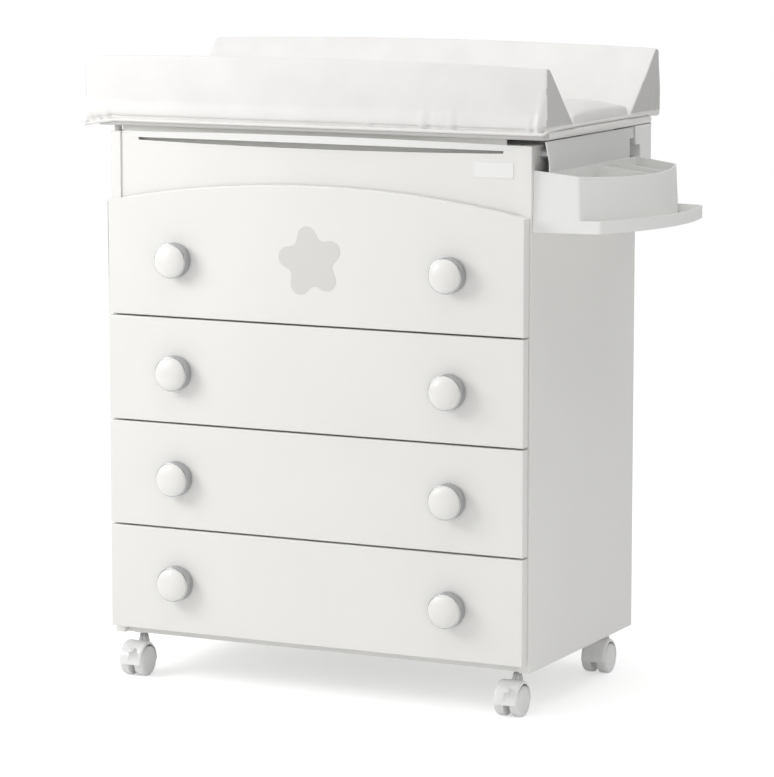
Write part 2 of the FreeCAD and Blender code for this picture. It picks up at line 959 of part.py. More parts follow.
def tray_plan(z, inset, ends, corners, widest, wall_x):
    """The tray seen from above: straight ends that lean in and a long bowed outer side."""
    front, rear = ends
    (front_reach, front_in), (rear_reach, rear_in) = corners
    reach, place = widest
    a = V(half_width + wall_x, front + inset, z)
    b = V(half_width + front_reach - inset, front + front_in + inset, z)
    c = V(half_width + reach - inset, place, z)
    d = V(half_width + rear_reach - inset, rear - rear_in - inset, z)
    e = V(half_width + wall_x, rear - inset, z)
    return Part.Wire([line(a, b), arc(b, c, d), line(d, e), line(e, a)])


def box_form(inset, z0, z1, wall_x):
    """The tray's tapered box between two heights."""
    fall = tray_rim - tray_bottom
    wires = []
    for z in (z0, z1):
        flare = tray_flare * (tray_rim - z) / fall
        wires.append(tray_plan(z, inset - flare, (tray_front, tray_rear),
                               (tray_front_corner, tray_rear_corner),
                               (tray_reach, tray_widest), wall_x))
    return Part.makeLoft(wires, True, True)


def flange_form(inset, z0, z1, wall_x):
    wire = tray_plan(z0, inset, (flange_front, flange_rear),
                     (flange_front_corner, flange_rear_corner), (flange_reach, flange_widest),
                     wall_x)
    return prism(wire, V(0, 0, z1 - z0))


def upright_corner(edge):
    """An edge that climbs from one height to another."""
    ends = edge.Vertexes
    return len(ends) == 2 and abs(ends[0].Point.z - ends[1].Point.z) > tray_wall


def tray_outer_corner(edge):
    """An upright edge away from the wall, where the tray's end meets its outer side."""
    return upright_corner(edge) and edge.Vertexes[0].Point.x > half_width + tray_inner_wall


def side_tray():
    """The hanging tray: a box with three compartments over a flange with a raised lip."""
    wall_x = tray_wall_gap
    far = half_width + flange_reach + overrun
    top = tray_rim + overrun
    floor = tray_bottom + tray_wall
    outer = rounded(box_form(0, tray_bottom, top, wall_x), tray_corner_round, tray_outer_corner)
    flange = rounded(flange_form(0, tray_bottom, tray_bottom + flange_height, wall_x),
                     flange_corner_round, tray_outer_corner)
    trough = flange_form(tray_wall, floor, tray_bottom + flange_height + overrun,
                         wall_x - overrun)
    trough = rounded(trough, flange_corner_round - tray_wall, tray_outer_corner)
    solid = outer.fuse(flange.cut(trough))
    cavity = box_form(tray_wall, floor, top + overrun, wall_x)
    cavity = rounded(cavity, tray_corner_round - tray_wall, tray_outer_corner)
    near = half_width + tray_inner_wall + tray_wall
    stops = [tray_front] + list(tray_dividers) + [tray_rear]
    for start, end in zip(stops[:-1], stops[1:]):
        low = start + tray_wall / 2
        high = end - tray_wall / 2
        slab = block(near, far, low, high, floor, top + overrun)
        solid = solid.cut(cavity.common(slab))
    behind = block(half_width - overrun, half_width + tray_inner_wall, 0, flange_rear, floor,
                   top + overrun)
    pocket = box_form(tray_wall, floor, top + overrun, -overrun)
    solid = solid.cut(pocket.common(behind))
    rim_low = tray_rim - tray_rim_fall
    slope_top = polygon([V(half_width - overrun, 0, tray_rim), V(half_width, 0, tray_rim),
                         V(half_width + tray_reach, 0, rim_low), V(far, 0, rim_low),
                         V(far, 0, top + overrun), V(half_width - overrun, 0, top + overrun)])
    solid = solid.cut(prism(slope_top, V(0, flange_rear + overrun, 0)))
    for y in hook_places():
        solid = solid.fuse(tray_hook(y))
    return solid.removeSplitter()


def tray_hook(y):
    """A hook behind the tray's inner wall: through the plate's slot and down behind it."""
    back = half_width + plate_stand_off - slot_clearance
    tab = block(back - hook_thickness, half_width + tray_inner_wall, y - hook_width / 2,
                y + hook_width / 2, hook_bottom, hook_bottom + hook_height)
    lip = block(back - hook_thickness, back, y - hook_width / 2, y + hook_width / 2,
                hook_bottom - hook_drop, hook_bottom)
    return tab.fuse(lip)


# Castors

def axle_place(x, y):
    return V(x, y - castor_trail, wheel_radius)


def castor_sockets():
    """Flanged sleeves in the bottom panel that take the castor stems."""
    sleeves = []
    bore = stem_radius + running_clearance
    for x, y in stem_places():
        start = V(x, y, side_bottom - socket_flange)
        flange = rod(socket_flange_radius, start, V(0, 0, 1), socket_flange)
        sleeve = rod(socket_radius, start, V(0, 0, 1), socket_flange + panel)
        hole = rod(bore, start, V(0, 0, 1), socket_flange + panel)
        sleeves.append(flange.fuse(sleeve).cut(hole).removeSplitter())
    return sleeves


def castor_stem(x, y):
    low = boss_top() - stem_pocket
    return rod(stem_radius, V(x, y, low), V(0, 0, 1),
               side_bottom + panel - stem_top_air - low)


def boss_top():
    return side_bottom - socket_flange - socket_seat_gap


def castor_hood(x, y, braked):
    """A half drum over both wheels, with a web between them and a boss for the stem."""
    axle = axle_place(x, y)
    across = V(1, 0, 0)
    inner = wheel_radius + hood_clearance
    outer = inner + hood_wall
    half = web_half + wheel_gap + wheel_width - wheel_round / 2
    drum = rod(outer, axle - across * half, across, 2 * half)
    room = half - web_half
    for start in (axle - across * half, axle + across * web_half):
        drum = drum.cut(rod(inner, start, across, room))
    floor = axle.z + hood_skirt_height - wheel_radius
    drum = drum.cut(block(x - outer, x + outer, axle.y - outer - overrun,
                          axle.y + outer + overrun, axle.z - outer - overrun, floor))
    hub = rod(hub_radius, axle - across * web_half, across, 2 * web_half)
    boss = rod(boss_radius, V(x, y, axle.z + hood_skirt_height), V(0, 0, 1),
               boss_top() - axle.z - hood_skirt_height)
    rib = block(x - web_half, x + web_half, axle.y, y, floor, axle.z + inner)
    solid = drum.fuse([hub, boss, rib])
    if braked:
        solid = solid.fuse(pedal_ears(axle))
    bore = rod(axle_radius + running_clearance, axle - across * (web_half + overrun), across,
               2 * (web_half + overrun))
    pocket = rod(stem_radius + running_clearance, V(x, y, boss_top() - stem_pocket), V(0, 0, 1),
                 stem_pocket + overrun)
    wells = []
    for side in (-1, 1):
        well_start = axle + across * (web_half if side > 0 else -half)
        wells.append(rod(inner, well_start, across, room))
    return solid.cut([bore, pocket] + wells).removeSplitter()


def pedal_pivot(axle):
    angle = math.radians(pedal_pivot_degrees)
    return axle + V(0, pedal_pivot_radius * math.cos(angle), pedal_pivot_radius * math.sin(angle))


def pedal_ears(axle):
    """Two ears on the hood, each with a stub that the pedal turns on."""
    pivot = pedal_pivot(axle)
    inward = axle - pivot
    inward.normalize()
    drop = pedal_pivot_radius - wheel_radius - hood_clearance - hood_wall / 2
    ears = []
    for side in (-1, 1):
        near = web_half + pedal_ear_gap
        start_x = min(side * near, side * (near + pedal_ear))
        disc = rod(pedal_barrel_radius, pivot + V(start_x, 0, 0), V(1, 0, 0), pedal_ear)
        foot = block(0, pedal_ear, -pedal_barrel_radius, pedal_barrel_radius, 0, drop)
        foot.rotate(V(0, 0, 0), V(1, 0, 0), pedal_pivot_degrees + 90)
        foot.translate(pivot + V(start_x, 0, 0))
        stub_x = min(side * near, side * (near - web_half / 2))
        stub = rod(pedal_pin_radius, pivot + V(stub_x, 0, 0), V(1, 0, 0), web_half / 2)
        ears = ears + [disc, foot, stub]
    return ears


def castor_pedal(x, y):
    """The brake pedal: a barrel on the ears' stubs and a tread that sticks out in front."""
    pivot = pedal_pivot(axle_place(x, y))
    barrel = rod(pedal_barrel_radius, pivot - V(web_half, 0, 0), V(1, 0, 0), 2 * web_half)
    arm = block(-web_half, web_half, -pedal_length / 2, 0, 0, pedal_thickness)
    tread = block(-pedal_width / 2, pedal_width / 2, -pedal_length, -pedal_length / 3, 0,
                  pedal_thickness)
    tread = rounded(tread, pedal_barrel_radius,
                    lambda edge: along(edge, "z") and all_at(edge, "y", -pedal_length))
    lever = arm.fuse(tread)
    lever.rotate(V(0, 0, 0), V(1, 0, 0), pedal_droop_degrees)
    lever.translate(pivot)
    bore_radius = pedal_pin_radius + running_clearance
    bore = rod(bore_radius, pivot - V(web_half, 0, 0), V(1, 0, 0), 2 * web_half)
    return barrel.fuse(lever).cut(bore).removeSplitter()


def castor_wheels(x, y):
    """The two wheels, one each side of the web, with rounded treads and dished faces."""
    axle = axle_place(x, y)
    wheels = []
    for side in (-1, 1):
        near = web_half + wheel_gap
        out = V(side, 0, 0)
        start = axle + out * near
        wheel = rod(wheel_radius, start, out, wheel_width)
        wheel = rounded(wheel, wheel_round, lambda edge: True)
        bore = rod(axle_radius + running_clearance, start - out * overrun, out,
                   wheel_width + 2 * overrun)
        dish_start = start + out * (wheel_width - wheel_recess)
        dish = rod(wheel_recess_radius, dish_start, out, wheel_recess + overrun)
        dish = dish.cut(rod(hub_radius, dish_start, out, wheel_recess + overrun))
        wheels.append(wheel.cut([bore, dish]))
    return wheels


def castor_axle(x, y):
    axle = axle_place(x, y)
    reach = web_half + wheel_gap + wheel_width - axle_air
    return rod(axle_radius, axle - V(reach, 0, 0), V(1, 0, 0), 2 * reach)


def main():
    os.makedirs("parts", exist_ok=True)
    save("side_panel_left", side_panel(-1))
    save("side_panel_right", side_panel(1))
    save("bottom_panel", bottom_panel())
    save("back_panel", back_panel())
    save("fascia_panel", fascia_panel())
    save("rear_rail", rear_rail())
    save("tub_cleats", *tub_cleats())
    save("drawer_runners", *drawer_runners())
    save("bath_tub", bath_tub())
    save("tub_plug", tub_plug())
    save("hinge_post_left", hinge_post(-1))
    save("hinge_post_right", hinge_post(1))
    save("hinge_leaves_fixed", *fixed_leaves())
    save("hinge_leaves_moving", *moving_leaves())
    save("hinge_pins", *hinge_pins())
    save("board_rests", *board_rests())
    save("changing_board", changing_board())
    save("mat_wedge_front", mat_wedge(-1))
    save("mat_wedge_rear", mat_wedge(1))
    save("mat_pad", mat_pad())
    save("tray_hanger_plate", hanger_plate())
    save("hanger_spacers", *hanger_spacers())
    save("side_tray", side_tray())
    save("castor_sockets", *castor_sockets())
    heights = knob_heights()
    for level, level_bottom in enumerate(drawer_bottoms()):
        number = plain_drawers + 1 - level
        name = "drawer_" + str(number)
        top_drawer = number == 1
        front = arched_front(level_bottom) if top_drawer else plain_front(level_bottom)
        height = top_box_height if top_drawer else plain_box_height
        save(name + "_front", front)
        save(name + "_box", *drawer_box(level_bottom, height))
        save(name + "_floor", drawer_floor_panel(level_bottom))
        save(name + "_knobs", *knob_pair(heights[level]))
        if top_drawer:
            save("star_inlay", star(level_bottom, -front_face - star_proud,
                                    star_depth + star_proud))
    places = ("front_left", "front_right", "rear_left", "rear_right")
    for place, (x, y) in zip(places, stem_places()):
        braked = place.startswith("front")
        name = "castor_" + place
        save(name + "_stem", castor_stem(x, y))
        save(name + "_hood", castor_hood(x, y, braked))
        save(name + "_axle", castor_axle(x, y))
        save(name + "_wheels", *castor_wheels(x, y))
        if braked:
            save(name + "_pedal", castor_pedal(x, y))
    print("shift", shift.x, shift.y)


main()
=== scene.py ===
# %% [markdown]
# # A changing table with a basin
#
# This is a nursery chest on castors. It has four drawers, a bath tub let into its top, a padded
# changing top that lies over the tub and swings up on hinges, and a moulded tray hung on its right
# side. Nearly every surface is white, so the picture lives on small things: rounded edges that
# catch the light, thin dark gaps, the sheen of each finish and the folds of the mat's cover.
#
# Each step below says what a piece or a finish is on the real chest, how it could be made, and why
# it is made this way. Lengths are in metres, x runs to the right, y to the back and z up.

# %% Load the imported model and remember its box
import bpy
import bmesh
import math
from mathutils import Matrix, Vector


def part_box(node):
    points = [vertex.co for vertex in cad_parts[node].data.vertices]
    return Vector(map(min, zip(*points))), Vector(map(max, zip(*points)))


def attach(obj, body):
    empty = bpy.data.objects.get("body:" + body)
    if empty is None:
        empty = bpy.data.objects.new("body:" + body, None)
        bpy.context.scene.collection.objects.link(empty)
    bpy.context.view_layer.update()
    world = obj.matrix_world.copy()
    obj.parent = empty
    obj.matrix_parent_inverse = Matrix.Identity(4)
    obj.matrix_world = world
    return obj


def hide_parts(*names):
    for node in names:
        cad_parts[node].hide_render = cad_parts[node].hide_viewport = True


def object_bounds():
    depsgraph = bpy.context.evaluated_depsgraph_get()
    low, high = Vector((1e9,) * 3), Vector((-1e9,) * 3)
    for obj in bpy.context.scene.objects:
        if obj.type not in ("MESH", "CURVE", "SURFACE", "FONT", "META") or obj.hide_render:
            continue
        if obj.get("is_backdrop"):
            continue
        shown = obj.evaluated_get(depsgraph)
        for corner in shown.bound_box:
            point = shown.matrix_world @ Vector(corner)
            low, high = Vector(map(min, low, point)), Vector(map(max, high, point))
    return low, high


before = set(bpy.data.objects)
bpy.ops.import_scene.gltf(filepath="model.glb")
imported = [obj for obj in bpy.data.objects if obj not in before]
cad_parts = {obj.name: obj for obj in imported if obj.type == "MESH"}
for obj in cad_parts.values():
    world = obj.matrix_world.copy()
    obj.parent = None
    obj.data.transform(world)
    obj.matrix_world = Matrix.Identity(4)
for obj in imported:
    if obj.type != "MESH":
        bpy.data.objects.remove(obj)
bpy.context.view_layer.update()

# %% [markdown]
# ## Colours and shader nodes
#
# Paint charts and pictures give colours as sRGB hex values, but the shaders work with linear light,
# so one function turns the first into the second. Another adds a shader node, gives it its settings,
# and links or fills its sockets. The others start a material, end it, set the two colours of a ramp,
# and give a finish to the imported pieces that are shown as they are.

# %% Helpers for materials
def linear(hex_colour):
    """An sRGB hex value such as f2f1ee as linear red, green, blue and alpha."""
    parts = [int(hex_colour[i:i + 2], 16) / 255 for i in (0, 2, 4)]
    turned = [c / 12.92 if c <= 0.04045 else ((c + 0.055) / 1.055) ** 2.4 for c in parts]
    return (*turned, 1.0)


def add_node(material, kind, sockets=None, **settings):
    """Adds a node. sockets gives each input a value or the output that it is linked to."""
    tree = material.node_tree
    node = tree.nodes.new(kind)
    for name, value in settings.items():
        setattr(node, name, value)
    for name, value in (sockets or {}).items():
        if isinstance(value, bpy.types.NodeSocket):
            tree.links.new(value, node.inputs[name])
        else:
            node.inputs[name].default_value = value
    return node


def new_finish(name):
    """An empty material, and the Object coordinates that its patterns read."""
    material = bpy.data.materials.new(name)
    material.use_nodes = True
    material.node_tree.nodes.clear()
    place = add_node(material, "ShaderNodeTexCoord").outputs["Object"]
    return material, place


def end_in(material, shader):
    """Adds the material's output and links a shader to it."""
    add_node(material, "ShaderNodeOutputMaterial", {"Surface": shader.outputs[0]})
    print("finish", material.name)
    return material


def set_tones(ramp, hex_low, hex_high, edge=0.0):
    """Sets the two colours of a ramp, and how far they stand in from its ends."""
    low, high = ramp.color_ramp.elements
    low.position, high.position = edge, 1 - edge
    low.color, high.color = linear(hex_low), linear(hex_high)


def give(node_names, material):
    """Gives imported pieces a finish. Their meshes stay as they are."""
    for name in node_names:
        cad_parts[name].data.materials.clear()
        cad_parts[name].data.materials.append(material)
    print(material.name, "on", len(node_names), "nodes")


# %% [markdown]
# ## Satin lacquer on board
#
# The carcass and the drawer fronts are fibreboard with a sprayed white lacquer. It is a satin
# finish: the highlight is wide and soft, and a sprayed coat is never dead flat, so it has a faint
# orange peel a few millimetres across. A long, very weak change of tone keeps a large panel from
# looking like paper. Lacquer has an IOR near 1.5.

# %% Satin lacquer
cloud_mm, peel_depth_mm = 350, 0.04


def satin_lacquer(name, hex_light, hex_dark, roughness, peel_mm):
    material, place = new_finish(name)
    cloud = add_node(material, "ShaderNodeTexNoise", {
        "Vector": place, "Scale": 1000 / cloud_mm, "Detail": 3.0})
    tone = add_node(material, "ShaderNodeValToRGB", {"Fac": cloud.outputs["Fac"]})
    set_tones(tone, hex_dark, hex_light, 0.35)
    peel = add_node(material, "ShaderNodeTexNoise", {
        "Vector": place, "Scale": 1000 / peel_mm, "Detail": 2.0})
    bump = add_node(material, "ShaderNodeBump", {
        "Height": peel.outputs["Fac"], "Distance": peel_depth_mm / 1000, "Strength": 0.6})
    rub = add_node(material, "ShaderNodeMapRange", {
        "Value": cloud.outputs["Fac"], "To Min": roughness - 0.03, "To Max": roughness + 0.05})
    shader = add_node(material, "ShaderNodeBsdfPrincipled", {
        "Base Color": tone.outputs["Color"], "Roughness": rub.outputs["Result"],
        "Normal": bump.outputs["Normal"], "IOR": 1.5})
    return end_in(material, shader)


white_lacquer = satin_lacquer("satin_white_lacquer_on_fibreboard", "f3f2ef", "f0efec", 0.36, 3.5)
star_lacquer = satin_lacquer("matt_pale_grey_lacquer", "dfdedb", "dcdad7", 0.6, 2.0)
inner_lacquer = satin_lacquer("white_melamine_board", "efeeeb", "ebeae6", 0.45, 1.5)
# The grey for the board's front edge is painted shade, for the shade under the mat's overhang.
board_edge_shade = satin_lacquer("painted_shade_on_board_edge", "cbcac8", "c7c6c4", 0.42, 2.5)
give(["star_inlay"], star_lacquer)

# %% [markdown]
# ## Thin hardboard
#
# The back and the drawer floors are thin pressed fibreboard with one white printed face. Pressing
# leaves a slight fibre texture, finer and duller than the lacquered board.

# %% White faced hardboard
fibre_mm, fibre_depth_mm = 2.5, 0.08


def faced_hardboard():
    material, place = new_finish("white_faced_hardboard")
    fibre = add_node(material, "ShaderNodeTexNoise", {
        "Vector": place, "Scale": 1000 / fibre_mm, "Detail": 6.0})
    tone = add_node(material, "ShaderNodeValToRGB", {"Fac": fibre.outputs["Fac"]})
    set_tones(tone, "e6e4de", "efede8")
    bump = add_node(material, "ShaderNodeBump", {
        "Height": fibre.outputs["Fac"], "Distance": fibre_depth_mm / 1000, "Strength": 0.7})
    shader = add_node(material, "ShaderNodeBsdfPrincipled", {
        "Base Color": tone.outputs["Color"], "Roughness": 0.62,
        "Normal": bump.outputs["Normal"], "IOR": 1.5})
    return end_in(material, shader)


give(["back_panel"] + [f"drawer_{level}_floor" for level in (1, 2, 3, 4)], faced_hardboard())

# %% [markdown]
# ## Moulded plastics
#
# The tub is a glossy moulding in polypropylene, the tray and brackets are satin ABS with a fine
# spark-eroded grain, and the runners are extruded. All are the same kind of finish: a body colour, a
# grain of a given size and a roughness. A little subsurface light softens thin walls, as in real
# white plastic. Rubber pads and wheel treads are moulded as well, so the same function makes them,
# only duller and in their own greys. It also makes two greys that are painted shade: a darker one
# for the hanger plate under the mat, and a mid grey for the tub's rib under the changing board and
# for the rebate under the tub's lip.

# %% Moulded plastic
drift_mm = 80


def moulded_plastic(name, hex_colour, roughness, grain_mm, grain_depth_mm, ior):
    material, place = new_finish(name)
    grain = add_node(material, "ShaderNodeTexNoise", {
        "Vector": place, "Scale": 1000 / grain_mm, "Detail": 3.0})
    drift = add_node(material, "ShaderNodeTexNoise", {
        "Vector": place, "Scale": 1000 / drift_mm, "Detail": 2.0})
    rub = add_node(material, "ShaderNodeMapRange", {
        "Value": drift.outputs["Fac"], "To Min": roughness - 0.04, "To Max": roughness + 0.06})
    bump = add_node(material, "ShaderNodeBump", {
        "Height": grain.outputs["Fac"], "Distance": grain_depth_mm / 1000, "Strength": 0.6})
    shader = add_node(material, "ShaderNodeBsdfPrincipled", {
        "Base Color": linear(hex_colour), "Roughness": rub.outputs["Result"],
        "Normal": bump.outputs["Normal"], "IOR": ior,
        "Subsurface Weight": 0.08, "Subsurface Radius": (0.004, 0.004, 0.0036)})
    return end_in(material, shader)


tub_plastic = moulded_plastic("glossy_moulded_polypropylene", "f4f4f2", 0.22, 6.0, 0.03, 1.49)
tray_plastic = moulded_plastic("satin_moulded_abs", "fafaf8", 0.2, 0.9, 0.02, 1.54)
# The plate's darker grey is painted shade: the plate lies in shade under the mat's overhang.
shaded_plate_plastic = moulded_plastic("satin_moulded_abs_with_painted_shade", "e6e6e4", 0.3, 0.9, 0.02, 1.54)
runner_plastic = moulded_plastic("extruded_nylon", "e6e6e2", 0.42, 1.5, 0.02, 1.53)
castor_nylon = moulded_plastic("glossy_moulded_nylon", "f6f6f5", 0.14, 1.2, 0.015, 1.53)
tread_rubber = moulded_plastic("white_castor_polyurethane", "f3f3f2", 0.4, 0.8, 0.03, 1.5)
rest_rubber = moulded_plastic("soft_grey_rubber", "b9b8b5", 0.65, 0.7, 0.04, 1.52)
# This mid grey is painted shade, for the tub's rib under the changing board and the rebate under the lip.
rib_and_rebate_shade = moulded_plastic("painted_shade_on_rib_and_rebate", "d2d1ce", 0.6, 0.7, 0.04, 1.52)
give(["drawer_runners"], runner_plastic)
give(["board_rests"], rest_rubber)
give(["castor_sockets"], castor_nylon)

# %% [markdown]
# ## Metals
#
# Hinges, pins, axles and screws are steel with a bright zinc coat, and the necks of the castors are
# steel with a dark grey coat. Both coats grow in small crystals, so their roughness changes over a
# few millimetres. A metal keeps the default IOR, and its colour is its reflection.

# %% Zinc plated steel
castor_places = ("front_left", "front_right", "rear_left", "rear_right")
crystal_mm, crystal_depth_mm = 2.2, 0.03


def zinc_steel(name, hex_colour):
    material, place = new_finish(name)
    crystal = add_node(material, "ShaderNodeTexVoronoi", {
        "Vector": place, "Scale": 1000 / crystal_mm}, feature="F1")
    rub = add_node(material, "ShaderNodeMapRange", {
        "Value": crystal.outputs["Distance"], "To Min": 0.26, "To Max": 0.4})
    bump = add_node(material, "ShaderNodeBump", {
        "Height": crystal.outputs["Distance"], "Distance": crystal_depth_mm / 1000})
    shader = add_node(material, "ShaderNodeBsdfPrincipled", {
        "Base Color": linear(hex_colour), "Metallic": 1.0, "Roughness": rub.outputs["Result"],
        "Normal": bump.outputs["Normal"]})
    return end_in(material, shader)


zinc = zinc_steel("bright_zinc_plated_steel", "d5d6d8")
dark_steel = zinc_steel("phosphated_castor_steel", "77787b")
give(["hinge_leaves_fixed", "hinge_leaves_moving", "hinge_pins", "hanger_spacers"], zinc)
give([f"castor_{place}_{part}" for place in castor_places for part in ("stem", "axle")], zinc)

# %% [markdown]
# ## The changing mat
#
# The mat lies on the board over the tub. It has a flat pad and a tall wedge along the front and
# back that keep the baby from rolling off, all foam in one cover of coated cloth. The cover is a
# little larger than the foam, so it puckers where it is sewn to the flat base: short upright folds
# along the foot, and a gathered corner at each end.
#
# It could be sculpted by hand, but cloth makes better folds by itself. Each block starts as a cube
# that is pulled into its section and cut into small squares. Its base and end seams are held, the
# cloth is allowed to grow by a few hundredths, and air pressure pushes it out. What the cloth may
# move is capped, so that the block keeps its size.
#
# The coat has a fine pebbled grain. The end faces of the wedges turn away from the light, and their
# cloth is a darker grey that is painted shade.

# %% Coated cloth
pebble_mm, pebble_depth_mm, patch_mm = 1.1, 0.12, 60


def coated_cloth(name, hex_low, hex_high):
    material, place = new_finish(name)
    pebble = add_node(material, "ShaderNodeTexVoronoi", {
        "Vector": place, "Scale": 1000 / pebble_mm}, feature="F1")
    patch = add_node(material, "ShaderNodeTexNoise", {
        "Vector": place, "Scale": 1000 / patch_mm, "Detail": 3.0})
    tone = add_node(material, "ShaderNodeValToRGB", {"Fac": patch.outputs["Fac"]})
    set_tones(tone, hex_low, hex_high, 0.3)
    height = add_node(material, "ShaderNodeMath", {
        0: pebble.outputs["Distance"], 1: 0.5}, operation="MULTIPLY")
    bump = add_node(material, "ShaderNodeBump", {
        "Height": height.outputs[0], "Distance": pebble_depth_mm / 1000, "Strength": 0.5})
    rub = add_node(material, "ShaderNodeMapRange", {
        "Value": patch.outputs["Fac"], "To Min": 0.42, "To Max": 0.52})
    shader = add_node(material, "ShaderNodeBsdfPrincipled", {
        "Base Color": tone.outputs["Color"], "Roughness": rub.outputs["Result"],
        "Normal": bump.outputs["Normal"], "IOR": 1.5, "Sheen Weight": 0.08, "Sheen Roughness": 0.5})
    return end_in(material, shader)


mat_cloth = coated_cloth("white_coated_polyester_cloth", "eceae8", "f0efed")
# A darker grey cloth for the end faces of the wedges: painted shade.
shaded_end_cloth = coated_cloth("coated_cloth_with_painted_shade", "cdccca", "d1d0ce")

# %% [markdown]
# ### Blocks that can fold
#
# Blender's modelling operators act on all that is selected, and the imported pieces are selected
# after they are loaded, so each new piece starts by letting go of everything. A block is a cube set
# between two corners. Its verts, edges and faces are picked by their place, and its long edges are
# cut into short ones, because cloth can only fold where it has points.

# %% A block cut into squares
def deselect_all():
    for other in bpy.context.selected_objects:
        other.select_set(False)


def make_active(piece):
    """Selects one piece alone and makes it the one that operators work on."""
    deselect_all()
    piece.select_set(True)
    bpy.context.view_layer.objects.active = piece


def start_block(name, low, high):
    """A cube between two corners, left in edit mode with nothing selected."""
    deselect_all()
    centre = [(a + b) / 2 for a, b in zip(low, high)]
    bpy.ops.mesh.primitive_cube_add(size=1, location=centre)
    piece = bpy.context.object
    piece.name = name
    piece.scale = [b - a for a, b in zip(low, high)]
    bpy.ops.object.transform_apply(location=True, rotation=False, scale=True)
    bpy.ops.object.mode_set(mode="EDIT")
    bpy.ops.mesh.select_mode(type="VERT")
    bpy.ops.mesh.select_all(action="DESELECT")
    return piece


def pick(piece, kind, test):
    """Selects the verts, edges or faces of a piece in edit mode whose middle passes a test."""
    bpy.ops.mesh.select_mode(type={"verts": "VERT", "edges": "EDGE", "faces": "FACE"}[kind])
    bpy.ops.mesh.select_all(action="DESELECT")
    mesh = bmesh.from_edit_mesh(piece.data)
    for part in getattr(mesh, kind):
        if kind == "verts":
            part.select_set(test(part.co))
        elif kind == "faces":
            part.select_set(test(part.calc_center_median(), part.normal))
        else:
            a, b = (v.co for v in part.verts)
            part.select_set(test((a + b) / 2, b - a))
    if kind == "verts":
        mesh.select_flush(True)
    bmesh.update_edit_mesh(piece.data)


def cut_long_edges(piece, axis, longest):
    """Cuts every edge that runs mostly along an axis into parts no longer than given."""
    def too_long(middle, run):
        return abs(run[axis]) > 0.6 * run.length and run.length > longest * 1.5

    pick(piece, "edges", too_long)
    mesh = bmesh.from_edit_mesh(piece.data)
    length = max((e.calc_length() for e in mesh.edges if e.select), default=0)
    if length:
        bpy.ops.mesh.subdivide(number_cuts=max(1, round(length / longest) - 1), quadcorner="INNERVERT")


# %% [markdown]
# The surface then settles as cloth for a few frames. Gravity is off, because the foam carries the
# cover, and a light pressure stands for the foam. After that one smooth subdivision rounds it.

# %% Settling as cloth
def settle(piece, held, gathered, cap, frames=16):
    """Lets a piece settle as cloth under light pressure, and caps how far each point moves.

    held says where the cloth is sewn fast, and gathered, from 0 to 1, how much spare cloth it has.
    """
    for name, share in (("held", held), ("gathered", gathered)):
        group = piece.vertex_groups.new(name=name)
        for vertex in piece.data.vertices:
            group.add([vertex.index], min(1.0, share(vertex.co)), "REPLACE")
    before = [v.co.copy() for v in piece.data.vertices]
    cloth = piece.modifiers.new("cloth", "CLOTH")
    settings = cloth.settings
    settings.quality = 6
    settings.mass = 0.25
    settings.tension_stiffness = settings.compression_stiffness = 40
    settings.shear_stiffness = 20
    settings.bending_stiffness = 0.8
    settings.vertex_group_mass = "held"
    settings.vertex_group_shrink = "gathered"
    settings.shrink_min = 0.0
    settings.shrink_max = -0.045
    settings.use_pressure = True
    settings.uniform_pressure_force = 2.0
    settings.effector_weights.gravity = 0
    cloth.collision_settings.use_collision = False
    for frame_number in range(1, frames + 1):
        bpy.context.scene.frame_set(frame_number)
    make_active(piece)
    bpy.ops.object.modifier_apply(modifier="cloth")
    bpy.context.scene.frame_set(1)
    moved = 0.0
    for vertex, start in zip(piece.data.vertices, before):
        move = vertex.co - start
        if move.length > cap:
            vertex.co = start + move.normalized() * cap
        moved = max(moved, min(move.length, cap))
    piece.vertex_groups.clear()
    print(piece.name, "settled, moved up to", round(moved * 1000, 1), "mm")


def round_off(piece):
    """One smooth subdivision, applied, and smooth shading."""
    make_active(piece)
    divide = piece.modifiers.new("subdivide", "SUBSURF")
    divide.levels = divide.render_levels = 1
    bpy.ops.object.modifier_apply(modifier="subdivide")
    bpy.ops.object.shade_smooth()


# %% [markdown]
# A hem runs round the foot of the mat, where the cover is sewn to its flat base: a cord in a strip
# of the same cloth. It is a curve with a round bevel, made a mesh and joined to its block, because
# the two are sewn together.

# %% Hem
hem_radius = 0.0026


def hem(name, points):
    curve = bpy.data.curves.new(name, "CURVE")
    curve.dimensions = "3D"
    curve.bevel_depth = hem_radius
    curve.bevel_resolution = 4
    curve.resolution_u = 6
    line = curve.splines.new("NURBS")
    line.points.add(len(points) - 1)
    for point, place in zip(line.points, points):
        point.co = (*place, 1.0)
    line.order_u = 3
    line.use_endpoint_u = True
    curve.use_fill_caps = True
    thing = bpy.data.objects.new(name, curve)
    bpy.context.scene.collection.objects.link(thing)
    make_active(thing)
    bpy.ops.object.convert(target="MESH")
    bpy.ops.object.shade_smooth()
    return bpy.context.object


def join_onto(piece, *others):
    """Joins other pieces onto one, which keeps its name."""
    deselect_all()
    for other in others:
        other.select_set(True)
    piece.select_set(True)
    bpy.context.view_layer.objects.active = piece
    bpy.ops.object.join()


# %% [markdown]
# What gravity and sewing add after that is small and known, so it is shaped. Where the mat
# reaches past the board it sags a little. Along the foot the face is tucked in just above the hem
# and bellies out over it, which draws the thin dark crease. A few pleats rise from the foot near the
# corners. Each shape moves the points by a smooth function of their distance.

# %% Sag, tuck and pleats
board_low, board_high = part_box("changing_board")
print("board from", [round(v, 4) for v in board_low], "to", [round(v, 4) for v in board_high])
sag_drop, sag_reach = 0.004, 0.03
crease_depth, crease_height, crease_width = 0.0022, 0.0055, 0.0035
belly_depth, belly_height, belly_width = 0.0009, 0.016, 0.008
pleat_lean, dent_share, dent_step = 0.12, 0.7, 1.7


